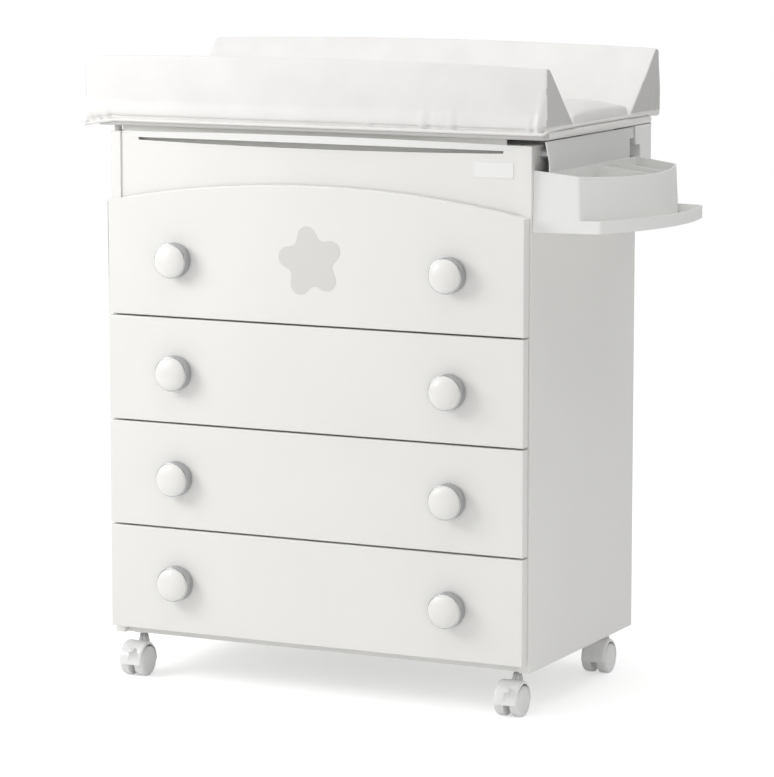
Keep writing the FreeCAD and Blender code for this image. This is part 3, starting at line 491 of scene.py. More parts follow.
def bump_at(distance, width):
    """1 at no distance, falling smoothly to 0 over about two widths."""
    return math.exp(-(distance / width) ** 2)


def points_facing(piece, facing, least):
    """The points whose normal looks one way. All normals are read before any point moves."""
    numbers = [v.index for v in piece.data.vertices if v.normal.dot(facing) > least]
    return [piece.data.vertices[number] for number in numbers]


def sag(piece):
    """Lets what reaches past the board's left and rear edges hang down a little."""
    for vertex in piece.data.vertices:
        past = max(0.0, board_low.x - vertex.co.x, vertex.co.y - board_high.y)
        vertex.co.z -= sag_drop * min(1.0, past / sag_reach) ** 1.5


def tuck(piece, facing, foot_z):
    """Pulls the face in just above the foot and lets it belly out over that crease."""
    for vertex in points_facing(piece, facing, 0.6):
        height = vertex.co.z - foot_z
        crease = crease_depth * bump_at(height - crease_height, crease_width)
        belly = belly_depth * bump_at(height - belly_height, belly_width)
        vertex.co -= facing * (crease - belly)


def pleat(piece, facing, along, foot_z, pleats):
    """Raises pleats on the face that looks one way. A pleat is (place, width, depth, height)."""
    for vertex in points_facing(piece, facing, 0.5):
        height = max(0.0, vertex.co.z - foot_z)
        for place, width, depth, reach in pleats:
            distance = vertex.co.dot(along) - (place + pleat_lean * height)
            crest = bump_at(distance, width) - dent_share * bump_at(distance - dent_step * width, width)
            vertex.co += facing * depth * crest * bump_at(height, reach)


# %% [markdown]
# The cover is a little longer than the front of the board is high, so its foot hangs over the top of
# the board's front edge, and at the left front corner a small flap of it droops and buckles.

# %% Overhang and corner flap
overhang_drop, overhang_out, overhang_reach, overhang_depth = 0.0071, 0.0030, 0.030, 0.0045
flap_drop, flap_ripple, flap_sway = 0.0075, 0.0012, 0.0024


def overhang(piece, front_y, foot_z):
    """Draws the foot of the front face out and down over the board's edge."""
    for vertex in piece.data.vertices:
        near = max(0.0, 1 - max(0.0, vertex.co.y - front_y) / overhang_depth)
        low_share = min(1.0, max(0.0, 1 - (vertex.co.z - foot_z) / overhang_reach))
        share = near * low_share * low_share * (3 - 2 * low_share)
        vertex.co.y -= overhang_out * share
        vertex.co.z -= overhang_drop * share


def corner_flap(piece, corner):
    """Lets the foot of the cloth droop and buckle along its last few centimetres."""
    for vertex in piece.data.vertices:
        along, back, up = vertex.co - corner
        share = bump_at(max(0.0, along - 0.010), 0.020) * bump_at(max(0.0, back - 0.010), 0.012)
        share *= bump_at(max(0.0, up - 0.003), 0.007)
        vertex.co.z -= (flap_drop + flap_ripple * math.sin(along * 800)) * share
        vertex.co.y -= flap_sway * math.sin(along * 520 + up * 300 + 1.0) * share


# %% [markdown]
# ### Seating
#
# Each finished piece gets its material and the body that it moves with. Where it stands in for a
# imported piece, that one is named too. Some pieces have a second finish on a few faces, which are
# found by their place.

# %% Seating
def seat(piece, body, material, node=None):
    """Gives a piece its finish, lets it ride on a body and, if named, stand in for a CAD node."""
    piece.data.materials.clear()
    piece.data.materials.append(material)
    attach(piece, body)
    if node:
        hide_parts(node)
    print(piece.name, "rides on", body, "with", len(piece.data.polygons), "faces")


def second_finish(piece, material, test):
    """Gives the faces whose middle and normal pass a test another material."""
    piece.data.materials.append(material)
    for face in piece.data.polygons:
        face.material_index = 1 if test(face.center, face.normal) else 0


# %% [markdown]
# ### Wedges
#
# The outer face of a wedge is nearly upright, the inner face slopes down to the pad, and the top is a
# narrow soft ridge that rises a little towards the middle. The cube's inner top edge is drawn across
# to the ridge first, and the cuts come after it, so that the squares follow the slope. The foot and
# the end seams are held as the cloth settles, and the ridge nearly so, or it would sink.

# %% Wedge values
square = 0.0062
crown, ridge, end_inset, face_inset = 0.007, 0.010, 0.0015, 0.0022
base_air, top_air, front_lift, rear_lift = 0.0005, 0.001, -0.0025, 0.005
sewn_height, ridge_hold, wedge_give = 0.0075, 0.9, 0.005
gather_place, gather_width, gather_height = 0.012, 0.014, 0.03
spread, spread_reach, slope_depth = 0.013, 0.05, 0.09
hem_corner, hem_air, hem_out_share = 0.012, 0.0006, 0.85


def crown_at(x, middle_x, half_x):
    """How much higher a ridge is here than at its ends."""
    return crown * (1 - ((x - middle_x) / half_x) ** 2)


def spread_foot(piece, ridge_y, right_x, foot_z, top_z):
    """Draws the inner foot of the rear wedge forward at its right end, where the cover is slack."""
    for vertex in piece.data.vertices:
        rise = min(1.0, max(0.0, (vertex.co.z - foot_z) / (top_z - foot_z)))
        inner_share = min(1.0, max(0.0, (ridge_y - vertex.co.y) / slope_depth))
        vertex.co.y -= spread * bump_at(right_x - vertex.co.x, spread_reach) * inner_share * (1 - rise)


# %% [markdown]
# The hem of a wedge starts at the pad, goes round one end, along the outer face and round the other
# end. The front one lies before the board's edge and a little below the board's top, as the cover
# hangs over there, and the rear one lies on the board.

# %% Wedge hem
def wedge_hem_line(low, high, outer_side, inner_y):
    """The points that the hem of a wedge runs through. The third is its left outer corner."""
    inward = -outer_side
    hem_z = low.z + hem_radius
    line_y, line_z = high.y + inward * hem_radius, hem_z
    if outer_side < 0:
        line_y = board_low.y - hem_air - hem_radius * hem_out_share
        line_z = hem_z - overhang_drop + hem_air
    left_x, right_x = low.x + 0.001, high.x - 0.001
    return [(left_x, inner_y, hem_z), (left_x, line_y + inward * hem_corner, hem_z),
            (left_x, line_y, line_z), (left_x + hem_corner, line_y, line_z),
            (right_x - hem_corner, line_y, line_z), (right_x, line_y, line_z),
            (right_x, line_y + inward * hem_corner, hem_z), (right_x, inner_y, hem_z)]


# %% [markdown]
# One function makes both wedges. The front one hangs over the board's edge and has the drooping
# corner flap. The rear one is a little slack at the foot of its right end.

# %% Wedges
def mat_wedge(name, node, outer_side, face_pleats, end_pleats):
    """outer_side is -1 for the wedge along the front and 1 for the one along the rear."""
    low, high = (corner.copy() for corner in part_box(node))
    low.x += end_inset
    high.x -= end_inset
    in_front = outer_side < 0
    inward = -outer_side
    edge_y, inner_y = (low.y, high.y) if in_front else (high.y, low.y)
    outer_y = edge_y + face_inset * inward
    ridge_y = outer_y + ridge * inward
    middle_x, half_x = (low.x + high.x) / 2, (high.x - low.x) / 2
    top_z = high.z - crown - top_air + (front_lift if in_front else rear_lift)
    foot_z = low.z + base_air
    front_y, back_y = min(outer_y, inner_y), max(outer_y, inner_y)
    piece = start_block(name, (low.x, front_y, foot_z), (high.x, back_y, top_z))
    pick(piece, "verts", lambda co: co.z > foot_z + 0.01 and abs(co.y - inner_y) < 0.001)
    bpy.ops.transform.translate(value=(0, ridge_y - inner_y, 0))
    for axis in (0, 2, 1):
        cut_long_edges(piece, axis, square)
    bpy.ops.object.mode_set(mode="OBJECT")
    for vertex in piece.data.vertices:
        rise = (vertex.co.z - foot_z) / (top_z - foot_z)
        vertex.co.z += crown_at(vertex.co.x, middle_x, half_x) * rise

    def held(co):
        at_foot = co.z < foot_z + sewn_height
        at_end = abs(abs(co.x - middle_x) - half_x) < 0.001
        rise = (co.z - foot_z) / (top_z - foot_z)
        slope_y = inner_y + (ridge_y - inner_y) * rise
        at_seam = abs(co.y - outer_y) < 0.001 or abs(co.y - slope_y) < 0.002
        on_ridge = co.z > top_z + crown_at(co.x, middle_x, half_x) - 0.0015
        return 1.0 if at_foot or (at_end and at_seam) else ridge_hold if on_ridge else 0.0

    def gathered(co):
        from_end = half_x - abs(co.x - middle_x)
        return bump_at(from_end - gather_place, gather_width) * bump_at(co.z - foot_z, gather_height)

    settle(piece, held, gathered, wedge_give)
    round_off(piece)
    tuck(piece, Vector((0, outer_side, 0)), foot_z)
    pleat(piece, Vector((0, outer_side, 0)), Vector((1, 0, 0)), foot_z,
          [(high.x - place, *rest) for place, *rest in face_pleats])
    pleat(piece, Vector((1, 0, 0)), Vector((0, 1, 0)), foot_z,
          [(edge_y + place, *rest) for place, *rest in end_pleats])
    if in_front:
        overhang(piece, outer_y, foot_z)
    line = wedge_hem_line(low, high, outer_side, inner_y)
    join_onto(piece, hem(name + "_hem", line))
    sag(piece)
    if in_front:
        corner_flap(piece, Vector(line[2]))
    else:
        spread_foot(piece, ridge_y, high.x, foot_z, top_z)
    seat(piece, "changing_top", mat_cloth, node)
    # The end faces get the grey cloth of painted shade.
    second_finish(piece, shaded_end_cloth, lambda middle, normal: (
        abs(middle.x - middle_x) > half_x - 0.006 and abs(normal.x) > 0.6 and middle.z > foot_z + 0.006))


# %% [markdown]
# The pleats that the photograph shows are placed as they are there, and those of the rear face are
# listed too. Each is (place, width, depth, height). On an outer face the place is measured from the
# right end, and on the right end face of the rear wedge from its rear edge.

# %% Both wedges
mat_wedge("mat_front_wedge_cover", "mat_wedge_front", -1,
          [(0.015, 0.0052, 0.0044, 0.036), (0.030, 0.004, 0.0018, 0.022), (0.165, 0.006, 0.0010, 0.026),
           (0.215, 0.007, 0.0013, 0.030), (0.31, 0.006, 0.0007, 0.02), (0.79, 0.006, 0.0012, 0.02)], [])
mat_wedge("mat_rear_wedge_cover", "mat_wedge_rear", 1,
          [(0.02, 0.006, 0.002, 0.03), (0.30, 0.007, 0.0012, 0.03), (0.62, 0.007, 0.0012, 0.03)],
          [(-0.010, 0.0060, 0.0058, 0.085), (-0.028, 0.0055, 0.0044, 0.055),
           (-0.048, 0.005, 0.0030, 0.035)])

# %% [markdown]
# ### Pad
#
# The pad lies between the wedges. Its ends are held down by the cover, so it is a little thinner
# there, and its top is crowned across. Its base reaches the wedges and its top is narrower.

# %% Pad
pad_height, pad_crown, pad_end_drop, pad_give = 0.0245, 0.005, 0.006, 0.004
pad_end_inset, pad_side_inset, pad_overlap = 0.002, 0.022, 0.003


def mat_pad():
    name = "mat_pad_cover"
    low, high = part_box("mat_pad")
    front_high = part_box("mat_wedge_front")[1]
    rear_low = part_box("mat_wedge_rear")[0]
    foot_z, top_z = low.z + base_air, low.z + pad_height
    piece = start_block(name, (low.x + pad_end_inset, low.y + pad_side_inset, foot_z),
                        (high.x - pad_end_inset, high.y - pad_side_inset, top_z))
    pick(piece, "verts", lambda co: co.z < foot_z + 0.001)
    base_share = (rear_low.y - front_high.y) / (high.y - low.y - 2 * pad_side_inset)
    bpy.ops.transform.resize(value=(1, base_share, 1))
    for axis in (0, 1, 2):
        cut_long_edges(piece, axis, square)
    bpy.ops.object.mode_set(mode="OBJECT")
    middle = (low + high) / 2
    half = (high - low) / 2
    for vertex in piece.data.vertices:
        along_share = min(1, abs(vertex.co.x - middle.x) / half.x)
        across_share = min(1, abs(vertex.co.y - middle.y) / (half.y - 0.02))
        rise = (vertex.co.z - foot_z) / (top_z - foot_z)
        end_drop = pad_end_drop * max(0, (along_share - 0.9) / 0.1) ** 2
        vertex.co.z += rise * (pad_crown * (1 - across_share ** 2) - end_drop)

    def held(co):
        return 1.0 if co.z < foot_z + 0.004 else 0.0

    def gathered(co):
        return 0.35 * max(0, (abs(co.x - middle.x) / half.x - 0.85) / 0.15)

    settle(piece, held, gathered, pad_give)
    round_off(piece)
    hem_z = low.z + hem_radius
    hem_places = (front_high.y - pad_overlap, middle.y, rear_low.y + pad_overlap)
    ends = []
    for side, x in (("left", low.x), ("right", high.x)):
        ends.append(hem(name + "_hem_" + side, [(x, y, hem_z) for y in hem_places]))
    join_onto(piece, *ends)
    sag(piece)
    seat(piece, "changing_top", mat_cloth, "mat_pad")


mat_pad()

# %% [markdown]
# ## Boards with eased edges
#
# No sprayed board has a knife edge: the maker rounds every corner by about a millimetre, so that the
# lacquer holds, and that thin rounded line is what catches the light along each panel. The packed
# boards have exact outlines with sharp edges. Each is copied, its triangles are merged into whole
# faces, and a narrow bevel rounds every edge that is sharper than 30 degrees. Normals are then
# weighted by area, so the broad faces still shade flat.

# %% Easing
def merged_copy(node):
    """A copy of a CAD node with its loose triangles merged into whole faces."""
    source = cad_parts[node]
    piece = bpy.data.objects.new(node + "_finished", source.data.copy())
    bpy.context.scene.collection.objects.link(piece)
    piece.matrix_world = source.matrix_world.copy()
    make_active(piece)
    bpy.ops.object.mode_set(mode="EDIT")
    bpy.ops.mesh.select_mode(type="VERT")
    bpy.ops.mesh.select_all(action="SELECT")
    bpy.ops.mesh.remove_doubles(threshold=0.000002)
    bpy.ops.mesh.dissolve_limited(angle_limit=math.radians(0.3))
    bpy.ops.object.mode_set(mode="OBJECT")
    return piece


def round_edges(piece, width_mm, corner=30, segments=2):
    """Rounds the edges of a piece that are sharper than a corner angle, in degrees."""
    make_active(piece)
    bpy.ops.object.shade_smooth_by_angle(angle=math.radians(corner))
    bevel = piece.modifiers.new("eased_edges", "BEVEL")
    bevel.width = width_mm / 1000
    bevel.segments = segments
    bevel.limit_method = "ANGLE"
    bevel.angle_limit = math.radians(corner)
    bpy.ops.object.modifier_apply(modifier="eased_edges")
    weighted = piece.modifiers.new("weighted_normals", "WEIGHTED_NORMAL")
    weighted.mode = "FACE_AREA"
    weighted.weight = 90
    weighted.keep_sharp = True
    bpy.ops.object.modifier_apply(modifier="weighted_normals")


def eased(nodes, body, material, width_mm):
    """Puts an eased copy in the place of each CAD node, and returns the last one."""
    for node in nodes:
        piece = merged_copy(node)
        round_edges(piece, width_mm)
        seat(piece, body, material, node)
    return piece


# %% [markdown]
# The changing board is lacquered like the rest, and its front edge gets a grey that is painted shade,
# for the shade under the mat's overhang. The back of each drawer front is brought about a millimetre
# closer to the carcass, so that the gap beside the side panel shows as a thin line.

# %% Carcass, drawers and top
front_gap_closed = 0.0012
eased(["side_panel_left", "side_panel_right", "bottom_panel", "rear_rail", "tub_cleats"],
      "chest", white_lacquer, 0.9)
board = eased(["changing_board"], "changing_top", white_lacquer, 1.2)
# The front faces of the board get the painted shade.
second_finish(board, board_edge_shade, lambda middle, normal: normal.y < -0.3)
for level in (1, 2, 3, 4):
    front = merged_copy(f"drawer_{level}_front")
    back_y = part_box(f"drawer_{level}_front")[1].y
    for vertex in front.data.vertices:
        if vertex.co.y > back_y - 0.0005:
            vertex.co.y += front_gap_closed
    round_edges(front, 1.0)
    seat(front, f"drawer_{level}", white_lacquer, f"drawer_{level}_front")
    eased([f"drawer_{level}_box"], f"drawer_{level}", inner_lacquer, 0.6)

# %% [markdown]
# The fascia is rebated along its top, so that the bowed lip of the tub hangs free in front of it and
# a dark line shows under the lip. The rebate is deeper in the middle than at its ends. A cutter is
# made from a cube whose lower edge is bowed, and a Boolean modifier takes it out of the copy. The
# faces of the rebate are painted a mid grey: painted shade under the lip.

# %% Fascia
lip_half, lip_low = 0.345, 0.901
rebate_half, rebate_depth, rebate_ends, rebate_bow, rebate_past = 0.328, 0.011, 0.0008, 0.0048, 0.01
fascia_low, fascia_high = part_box("fascia_panel")
lip_middle = (fascia_low.x + fascia_high.x) / 2


def bow(x):
    """1 in the middle of the lip, 0 at its ends."""
    return max(0.0, 1 - ((x - lip_middle) / lip_half) ** 2)


def in_rebate(middle, normal):
    behind_face = fascia_low.y + 0.0003 < middle.y < fascia_low.y + rebate_depth + 0.0005
    up_high = middle.z > lip_low - rebate_bow - 0.002
    return behind_face and up_high and abs(middle.x - lip_middle) < rebate_half


cutter = start_block("rebate_cutter",
                     (lip_middle - rebate_half, fascia_low.y - rebate_past, lip_low - rebate_ends),
                     (lip_middle + rebate_half, fascia_low.y + rebate_depth, fascia_high.z + rebate_past))
cut_long_edges(cutter, 0, 0.02)
bpy.ops.object.mode_set(mode="OBJECT")
for vertex in cutter.data.vertices:
    if vertex.co.z < lip_low:
        vertex.co.z -= rebate_bow * bow(vertex.co.x)
fascia = merged_copy("fascia_panel")
rebate = fascia.modifiers.new("rebate", "BOOLEAN")
rebate.operation = "DIFFERENCE"
rebate.solver = "EXACT"
rebate.object = cutter
bpy.ops.object.modifier_apply(modifier="rebate")
bpy.data.objects.remove(cutter)
round_edges(fascia, 0.4)
seat(fascia, "chest", white_lacquer, "fascia_panel")
# The rebate's faces get the mid grey of painted shade.
second_finish(fascia, rib_and_rebate_shade, in_rebate)

# %% [markdown]
# ## Mouldings
#
# The brackets, the tray and the plate that carries it are mouldings. Their edges are rounded too, as
# every mould's are. The tray's are the widest, because its rim and flange catch the light. The plate
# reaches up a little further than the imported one, close under the changing board.

# %% Moulded brackets and tray
plate_rise = 0.0018
eased(["hinge_post_left", "hinge_post_right"], "chest", tray_plastic, 1.5)
plate = merged_copy("tray_hanger_plate")
plate_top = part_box("tray_hanger_plate")[1].z
for vertex in plate.data.vertices:
    if vertex.co.z > plate_top - 0.0005:
        vertex.co.z += plate_rise
round_edges(plate, 0.5)
# The plate's darker grey is painted shade, for the shade under the mat.
seat(plate, "chest", shaded_plate_plastic, "tray_hanger_plate")
tray = merged_copy("side_tray")
round_edges(tray, 1.2, segments=3)
seat(tray, "tray", tray_plastic, "side_tray")

# %% [markdown]
# ## Knobs
#
# Each knob is a turned drum with a satin chrome flank and a low white dome let into its face. Fine
# turning lines run round the flank, so the roughness changes along the knob's axis and hardly across
# it. The real lines are finer than a pixel and are drawn coarser here, so that they show at all.

# %% Satin chrome
line_mm, line_length_mm = 0.2, 25


def satin_chrome():
    material, place = new_finish("satin_chrome_on_turned_metal")
    stretch = add_node(material, "ShaderNodeMapping", {
        "Vector": place, "Scale": (1000 / line_length_mm, 1000 / line_mm, 1000 / line_length_mm)})
    lines = add_node(material, "ShaderNodeTexNoise", {
        "Vector": stretch.outputs["Vector"], "Scale": 1.0, "Detail": 2.0})
    rub = add_node(material, "ShaderNodeMapRange", {
        "Value": lines.outputs["Fac"], "To Min": 0.2, "To Max": 0.34})
    bump = add_node(material, "ShaderNodeBump", {
        "Height": lines.outputs["Fac"], "Distance": 0.00001, "Strength": 0.5})
    shader = add_node(material, "ShaderNodeBsdfPrincipled", {
        "Base Color": linear("b9babc"), "Metallic": 1.0, "Roughness": rub.outputs["Result"],
        "Normal": bump.outputs["Normal"]})
    return end_in(material, shader)


chrome = satin_chrome()
knob_white = satin_lacquer("white_enamel_on_knob_caps", "f3f2ef", "f1f0ed", 0.3, 2.0)

# %% [markdown]
# A turned piece is made as on a lathe: a disc is pushed out along its axis ring by ring, and each
# ring gets its own radius. Round edges are rings along a quarter of a circle. Spin would do it too,
# but this way the disc's two faces close the piece at once.

# %% Turning
def quarter_round(radius, out, size, steps=5):
    """Rings that turn a flank at a radius into a face further out, along a quarter of a circle."""
    turns = [math.pi / 2 * i / steps for i in range(steps + 1)]
    return [(radius - size * (1 - math.cos(t)), out + size * math.sin(t)) for t in turns]


def quarter_start(radius, size, steps):
    """Rings that turn a face at no distance into a flank at a radius."""
    turns = [math.pi / 2 * i / steps for i in range(1, steps + 1)]
    return [(radius - size * (1 - math.sin(t)), size * (1 - math.cos(t))) for t in turns]


def turned_piece(name, rings, sides=64):
    """A turned piece whose axis is -y from the origin. A ring is (radius, distance out)."""
    deselect_all()
    bpy.ops.mesh.primitive_circle_add(vertices=sides, radius=rings[0][0], fill_type="NGON",
                                      rotation=(math.pi / 2, 0, 0))
    piece = bpy.context.object
    piece.name = name
    bpy.ops.object.transform_apply(location=False, rotation=True, scale=False)
    bpy.ops.object.mode_set(mode="EDIT")
    bpy.ops.mesh.select_all(action="SELECT")
    bpy.ops.transform.translate(value=(0, -rings[0][1], 0))
    for (radius, out), (next_radius, next_out) in zip(rings, rings[1:]):
        bpy.ops.mesh.extrude_region_move(TRANSFORM_OT_translate={"value": (0, out - next_out, 0)})
        grow = next_radius / radius
        bpy.ops.transform.resize(value=(grow, 1, grow), center_override=(0, -next_out, 0))
    bpy.ops.mesh.select_all(action="SELECT")
    bpy.ops.mesh.normals_make_consistent(inside=False)
    bpy.ops.object.mode_set(mode="OBJECT")
    bpy.ops.object.shade_smooth_by_angle(angle=math.radians(40))
    print(name, len(piece.data.polygons), "faces")
    return piece


def placed_copy(model, name, place):
    """A copy with its own mesh, moved to a place by its points, so that the piece stays at the origin."""
    piece = model.copy()
    piece.data = model.data.copy()
    piece.name = name
    piece.data.transform(Matrix.Translation(place))
    bpy.context.scene.collection.objects.link(piece)
    return piece


# %% [markdown]
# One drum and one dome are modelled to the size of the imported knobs. The drum has a shallow seat in
# its face, and the dome rises from that seat along a quarter of an ellipse.

# %% Knob models
sample_low, sample_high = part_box("drawer_1_knobs")
knob_radius = (sample_high.z - sample_low.z) / 2
knob_out = sample_high.y - sample_low.y
drum_depth = knob_out * 21 / 32
cap_radius = knob_radius * 27.2 / 29
seat_depth, drum_back_round, drum_face_round, cap_air = 0.0024, 0.0029, 0.0014, 0.0001
cap_seat = drum_depth - seat_depth
drum_rings = [(knob_radius * 0.9, 0.0)]
drum_rings += quarter_start(knob_radius, drum_back_round, 5)
drum_rings += quarter_round(knob_radius, drum_depth - drum_face_round, drum_face_round)
drum_rings += [(cap_radius + cap_air, drum_depth - 0.0002), (cap_radius + cap_air, cap_seat)]
knob_drum = turned_piece("knob_drum_model", drum_rings)

cap_rings = [(cap_radius, cap_seat), (cap_radius, drum_depth)]
dome_height = knob_out - drum_depth
dome_steps = 12
for step in range(1, dome_steps + 1):
    turn = math.pi / 2 * step / (dome_steps + 0.4)
    cap_rings.append((cap_radius * math.cos(turn), drum_depth + dome_height * math.sin(turn)))
knob_cap = turned_piece("knob_cap_model", cap_rings)

# %% [markdown]
# Each of the eight knobs gets its own copy of both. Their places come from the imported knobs.

# %% Knobs on their fronts
for level in (1, 2, 3, 4):
    low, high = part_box(f"drawer_{level}_knobs")
    middle_z = (low.z + high.z) / 2
    for side, x in (("left", low.x + knob_radius), ("right", high.x - knob_radius)):
        place = Vector((x, high.y, middle_z))
        for model, part, finish in ((knob_drum, "drum", chrome), (knob_cap, "cap", knob_white)):
            piece = placed_copy(model, f"drawer_{level}_knob_{side}_{part}", place)
            seat(piece, f"drawer_{level}", finish, f"drawer_{level}_knobs")
for model in (knob_drum, knob_cap):
    bpy.data.objects.remove(model)

# %% [markdown]
# ## Castors
#
# Each castor has two wheels under one hood. The hood's outline comes from a merged copy. Its neck is
# slimmed, and its brow is raised a little towards the chest. Three upright cuts near each side let
# the brow's shoulders be drawn in. The dark neck is steel.

# %% Hood values
neck_share, neck_core = 0.58, 0.0046
hood_low, hood_lift, brow_over_wheels = 0.030, 0.0036, 0.0048
hood_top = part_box("castor_front_left_wheels")[1].z + brow_over_wheels
print("packed brow at", round(hood_top, 4))
slot_half, slot_depth, slot_from, slot_to = 0.0016, 0.0011, 8, 34
shoulder, shoulder_width, hood_radius = 0.0017, 0.0044, 0.0280
shoulder_cuts = (0.0012, 0.0026, shoulder_width)


def brow_lift(z):
    """How far the hood is raised at a height: nothing at its foot, all of it at its brow."""
    return hood_lift * min(1.0, max(0.0, (z - hood_low) / (hood_top - hood_low))) ** 2


def cut_upright(places):
    """Cuts the piece in edit mode by planes across x."""
    for x in places:
        bpy.ops.mesh.select_all(action="SELECT")
        bpy.ops.mesh.bisect(plane_co=(x, 0, 0), plane_no=(1, 0, 0))


# %% [markdown]
# A short upright slot is pressed into the brow: the brow is cut by two upright planes, and the faces
# between them are pushed in.

# %% Hoods
def castor_hood(place):
    piece = merged_copy(f"castor_{place}_hood")
    wheels_low, wheels_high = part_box(f"castor_{place}_wheels")
    stem_low, stem_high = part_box(f"castor_{place}_stem")
    hood_box_low, hood_box_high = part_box(f"castor_{place}_hood")
    axle = (wheels_low + wheels_high) / 2
    stem = (stem_low + stem_high) / 2
    half_width = (hood_box_high.x - hood_box_low.x) / 2
    for vertex in piece.data.vertices:
        across = Vector((vertex.co.x - stem.x, vertex.co.y - stem.y))
        if vertex.co.z > hood_top + 0.001 and across.length > neck_core:
            vertex.co.x = stem.x + across.x * neck_share
            vertex.co.y = stem.y + across.y * neck_share
    for vertex in piece.data.vertices:
        if vertex.co.z <= hood_top + 0.1 * (hood_top - hood_low):
            vertex.co.z += brow_lift(vertex.co.z)

    def in_slot(middle, normal):
        turn = math.degrees(math.atan2(middle.z - axle.z, axle.y - middle.y))
        away = math.hypot(middle.z - axle.z, middle.y - axle.y)
        on_brow = away > hood_radius + 0.0005 and slot_from < turn < slot_to and normal.y < -0.5
        return on_brow and abs(middle.x - axle.x) < slot_half

    bpy.ops.object.mode_set(mode="EDIT")
    cut_upright([axle.x + side * slot_half for side in (-1, 1)])
    pick(piece, "faces", in_slot)
    bpy.ops.mesh.extrude_region_shrink_fatten(TRANSFORM_OT_shrink_fatten={"value": -slot_depth})
    cut_upright([axle.x + side * (half_width - inset) for side in (-1, 1) for inset in shoulder_cuts])
    bpy.ops.object.mode_set(mode="OBJECT")
    for vertex in piece.data.vertices:
        out = Vector((0, vertex.co.y - axle.y, vertex.co.z - axle.z))
        from_side = half_width - abs(vertex.co.x - axle.x)
        if out.length > hood_radius and from_side < shoulder_width:
            vertex.co -= out.normalized() * shoulder * (1 - from_side / shoulder_width) ** 2
    round_edges(piece, 0.4, corner=35)
    seat(piece, f"castor_{place}", castor_nylon, f"castor_{place}_hood")
    second_finish(piece, dark_steel, lambda middle, normal: (
        middle.z > hood_top + hood_lift and math.hypot(middle.x - stem.x, middle.y - stem.y) < 0.0085))


for place in castor_places:
    castor_hood(place)

# %% [markdown]
# The two front castors have a brake pedal over the wheels. It is short and lies close to the hood, so
# a merged copy is drawn in towards its pivot, and raised as the brow is, before its edges are rounded.

# %% Brake pedals
pedal_draw, pedal_level, barrel_half, barrel_rise = 0.45, 0.2, 0.003, 0.0007
for place in ("front_left", "front_right"):
    pedal = merged_copy(f"castor_{place}_pedal")
    low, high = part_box(f"castor_{place}_pedal")
    barrel_y, barrel_z = high.y - barrel_half, (low.z + high.z) / 2 + barrel_rise
    for vertex in pedal.data.vertices:
        past = barrel_y - barrel_half - 0.0005 - vertex.co.y
        if past > 0:
            vertex.co.y += pedal_draw * past
            vertex.co.z += pedal_level * (barrel_z - vertex.co.z)
        vertex.co.z += brow_lift(vertex.co.z)
        vertex.co.y -= 0.0003
    round_edges(pedal, 0.6)
    seat(pedal, f"castor_{place}_brake", castor_nylon, f"castor_{place}_pedal")

# %% [markdown]
# A wheel is a turned piece: a bore for the axle, a soft tread with round shoulders and, inside a fine
# groove, a plain disc that is a little domed. The two wheels of a castor face away from each other.

# %% Wheels
wheels_low, wheels_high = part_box("castor_front_left_wheels")
web_half, wheel_gap = 0.005, 0.0004
inner_round, outer_round = 0.0022, 0.0040
wheel_radius = (wheels_high.z - wheels_low.z) / 2
wheel_width = (wheels_high.x - wheels_low.x) / 2 - web_half - wheel_gap
bore_radius, bore_end = 0.0031, wheel_width - 0.0009
disc_radius = wheel_radius - 0.0052
wheel_rings = [(bore_radius, bore_end), (bore_radius, 0.0), (wheel_radius - inner_round, 0.0)]
wheel_rings += quarter_start(wheel_radius, inner_round, 4)
wheel_rings += quarter_round(wheel_radius, wheel_width - 0.0042, outer_round)
wheel_rings += [(disc_radius + 0.0006, wheel_width - 0.0003), (disc_radius + 0.0005, wheel_width - 0.0011),
                (disc_radius, wheel_width - 0.0011), (disc_radius - 0.0001, wheel_width - 0.0006),
                (disc_radius - 0.004, wheel_width - 0.0002), (0.006, wheel_width), (0.0005, wheel_width)]
wheel_model = turned_piece("castor_wheel_model", wheel_rings, 72)
for place in castor_places:
    low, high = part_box(f"castor_{place}_wheels")
    axle = (low + high) / 2
    for side, turn in (("left", -1), ("right", 1)):
        wheel = placed_copy(wheel_model, f"castor_{place}_wheel_{side}", Vector())
        wheel.data.transform(Matrix.Rotation(turn * math.pi / 2, 4, "Z"))
        wheel.data.transform(Matrix.Translation(axle + Vector((turn * (web_half + wheel_gap), 0, 0))))
        seat(wheel, f"castor_{place}_wheel_pair", tread_rubber, f"castor_{place}_wheels")
bpy.data.objects.remove(wheel_model)

# %% [markdown]
# ## Bath tub
#
# The tub is vacuum formed, so its rim, its bowed lip and the turn into the basin are all softly
# rounded, and its walls shade as one smooth surface down to the drain. The lip in front of the fascia
# is arched upwards in its middle. Behind it a rib rises to the changing board, and its front faces
# are painted a mid grey: painted shade under the board.

# %% Tub and plug
lip_arch, lip_foot_ends, lip_foot_arch, lip_edge = 0.0042, 0.0028, 0.0012, 0.008
rib_rise, rib_low, rib_depth = 0.0010, 0.9135, 0.0035
tub = merged_copy("bath_tub")
tub_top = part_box("bath_tub")[1].z
rib_front = fascia_low.y + 0.005
for vertex in tub.data.vertices:
    if vertex.co.y < rib_front - 0.001 and abs(vertex.co.x - lip_middle) < lip_half + 0.001:
        share = bow(vertex.co.x)
        at_top = vertex.co.z > lip_low + lip_edge
        vertex.co.z += lip_arch * share if at_top else lip_foot_ends + lip_foot_arch * share
    if vertex.co.z > tub_top - 0.0008:
        vertex.co.z += rib_rise
round_edges(tub, 0.8, corner=35)
seat(tub, "chest", tub_plastic, "bath_tub")
# The rib's front faces get the mid grey of painted shade.
second_finish(tub, rib_and_rebate_shade, lambda middle, normal: (
    rib_front - 0.0004 < middle.y < rib_front + rib_depth and middle.z > rib_low))
eased(["tub_plug"], "chest", rest_rubber, 0.5)

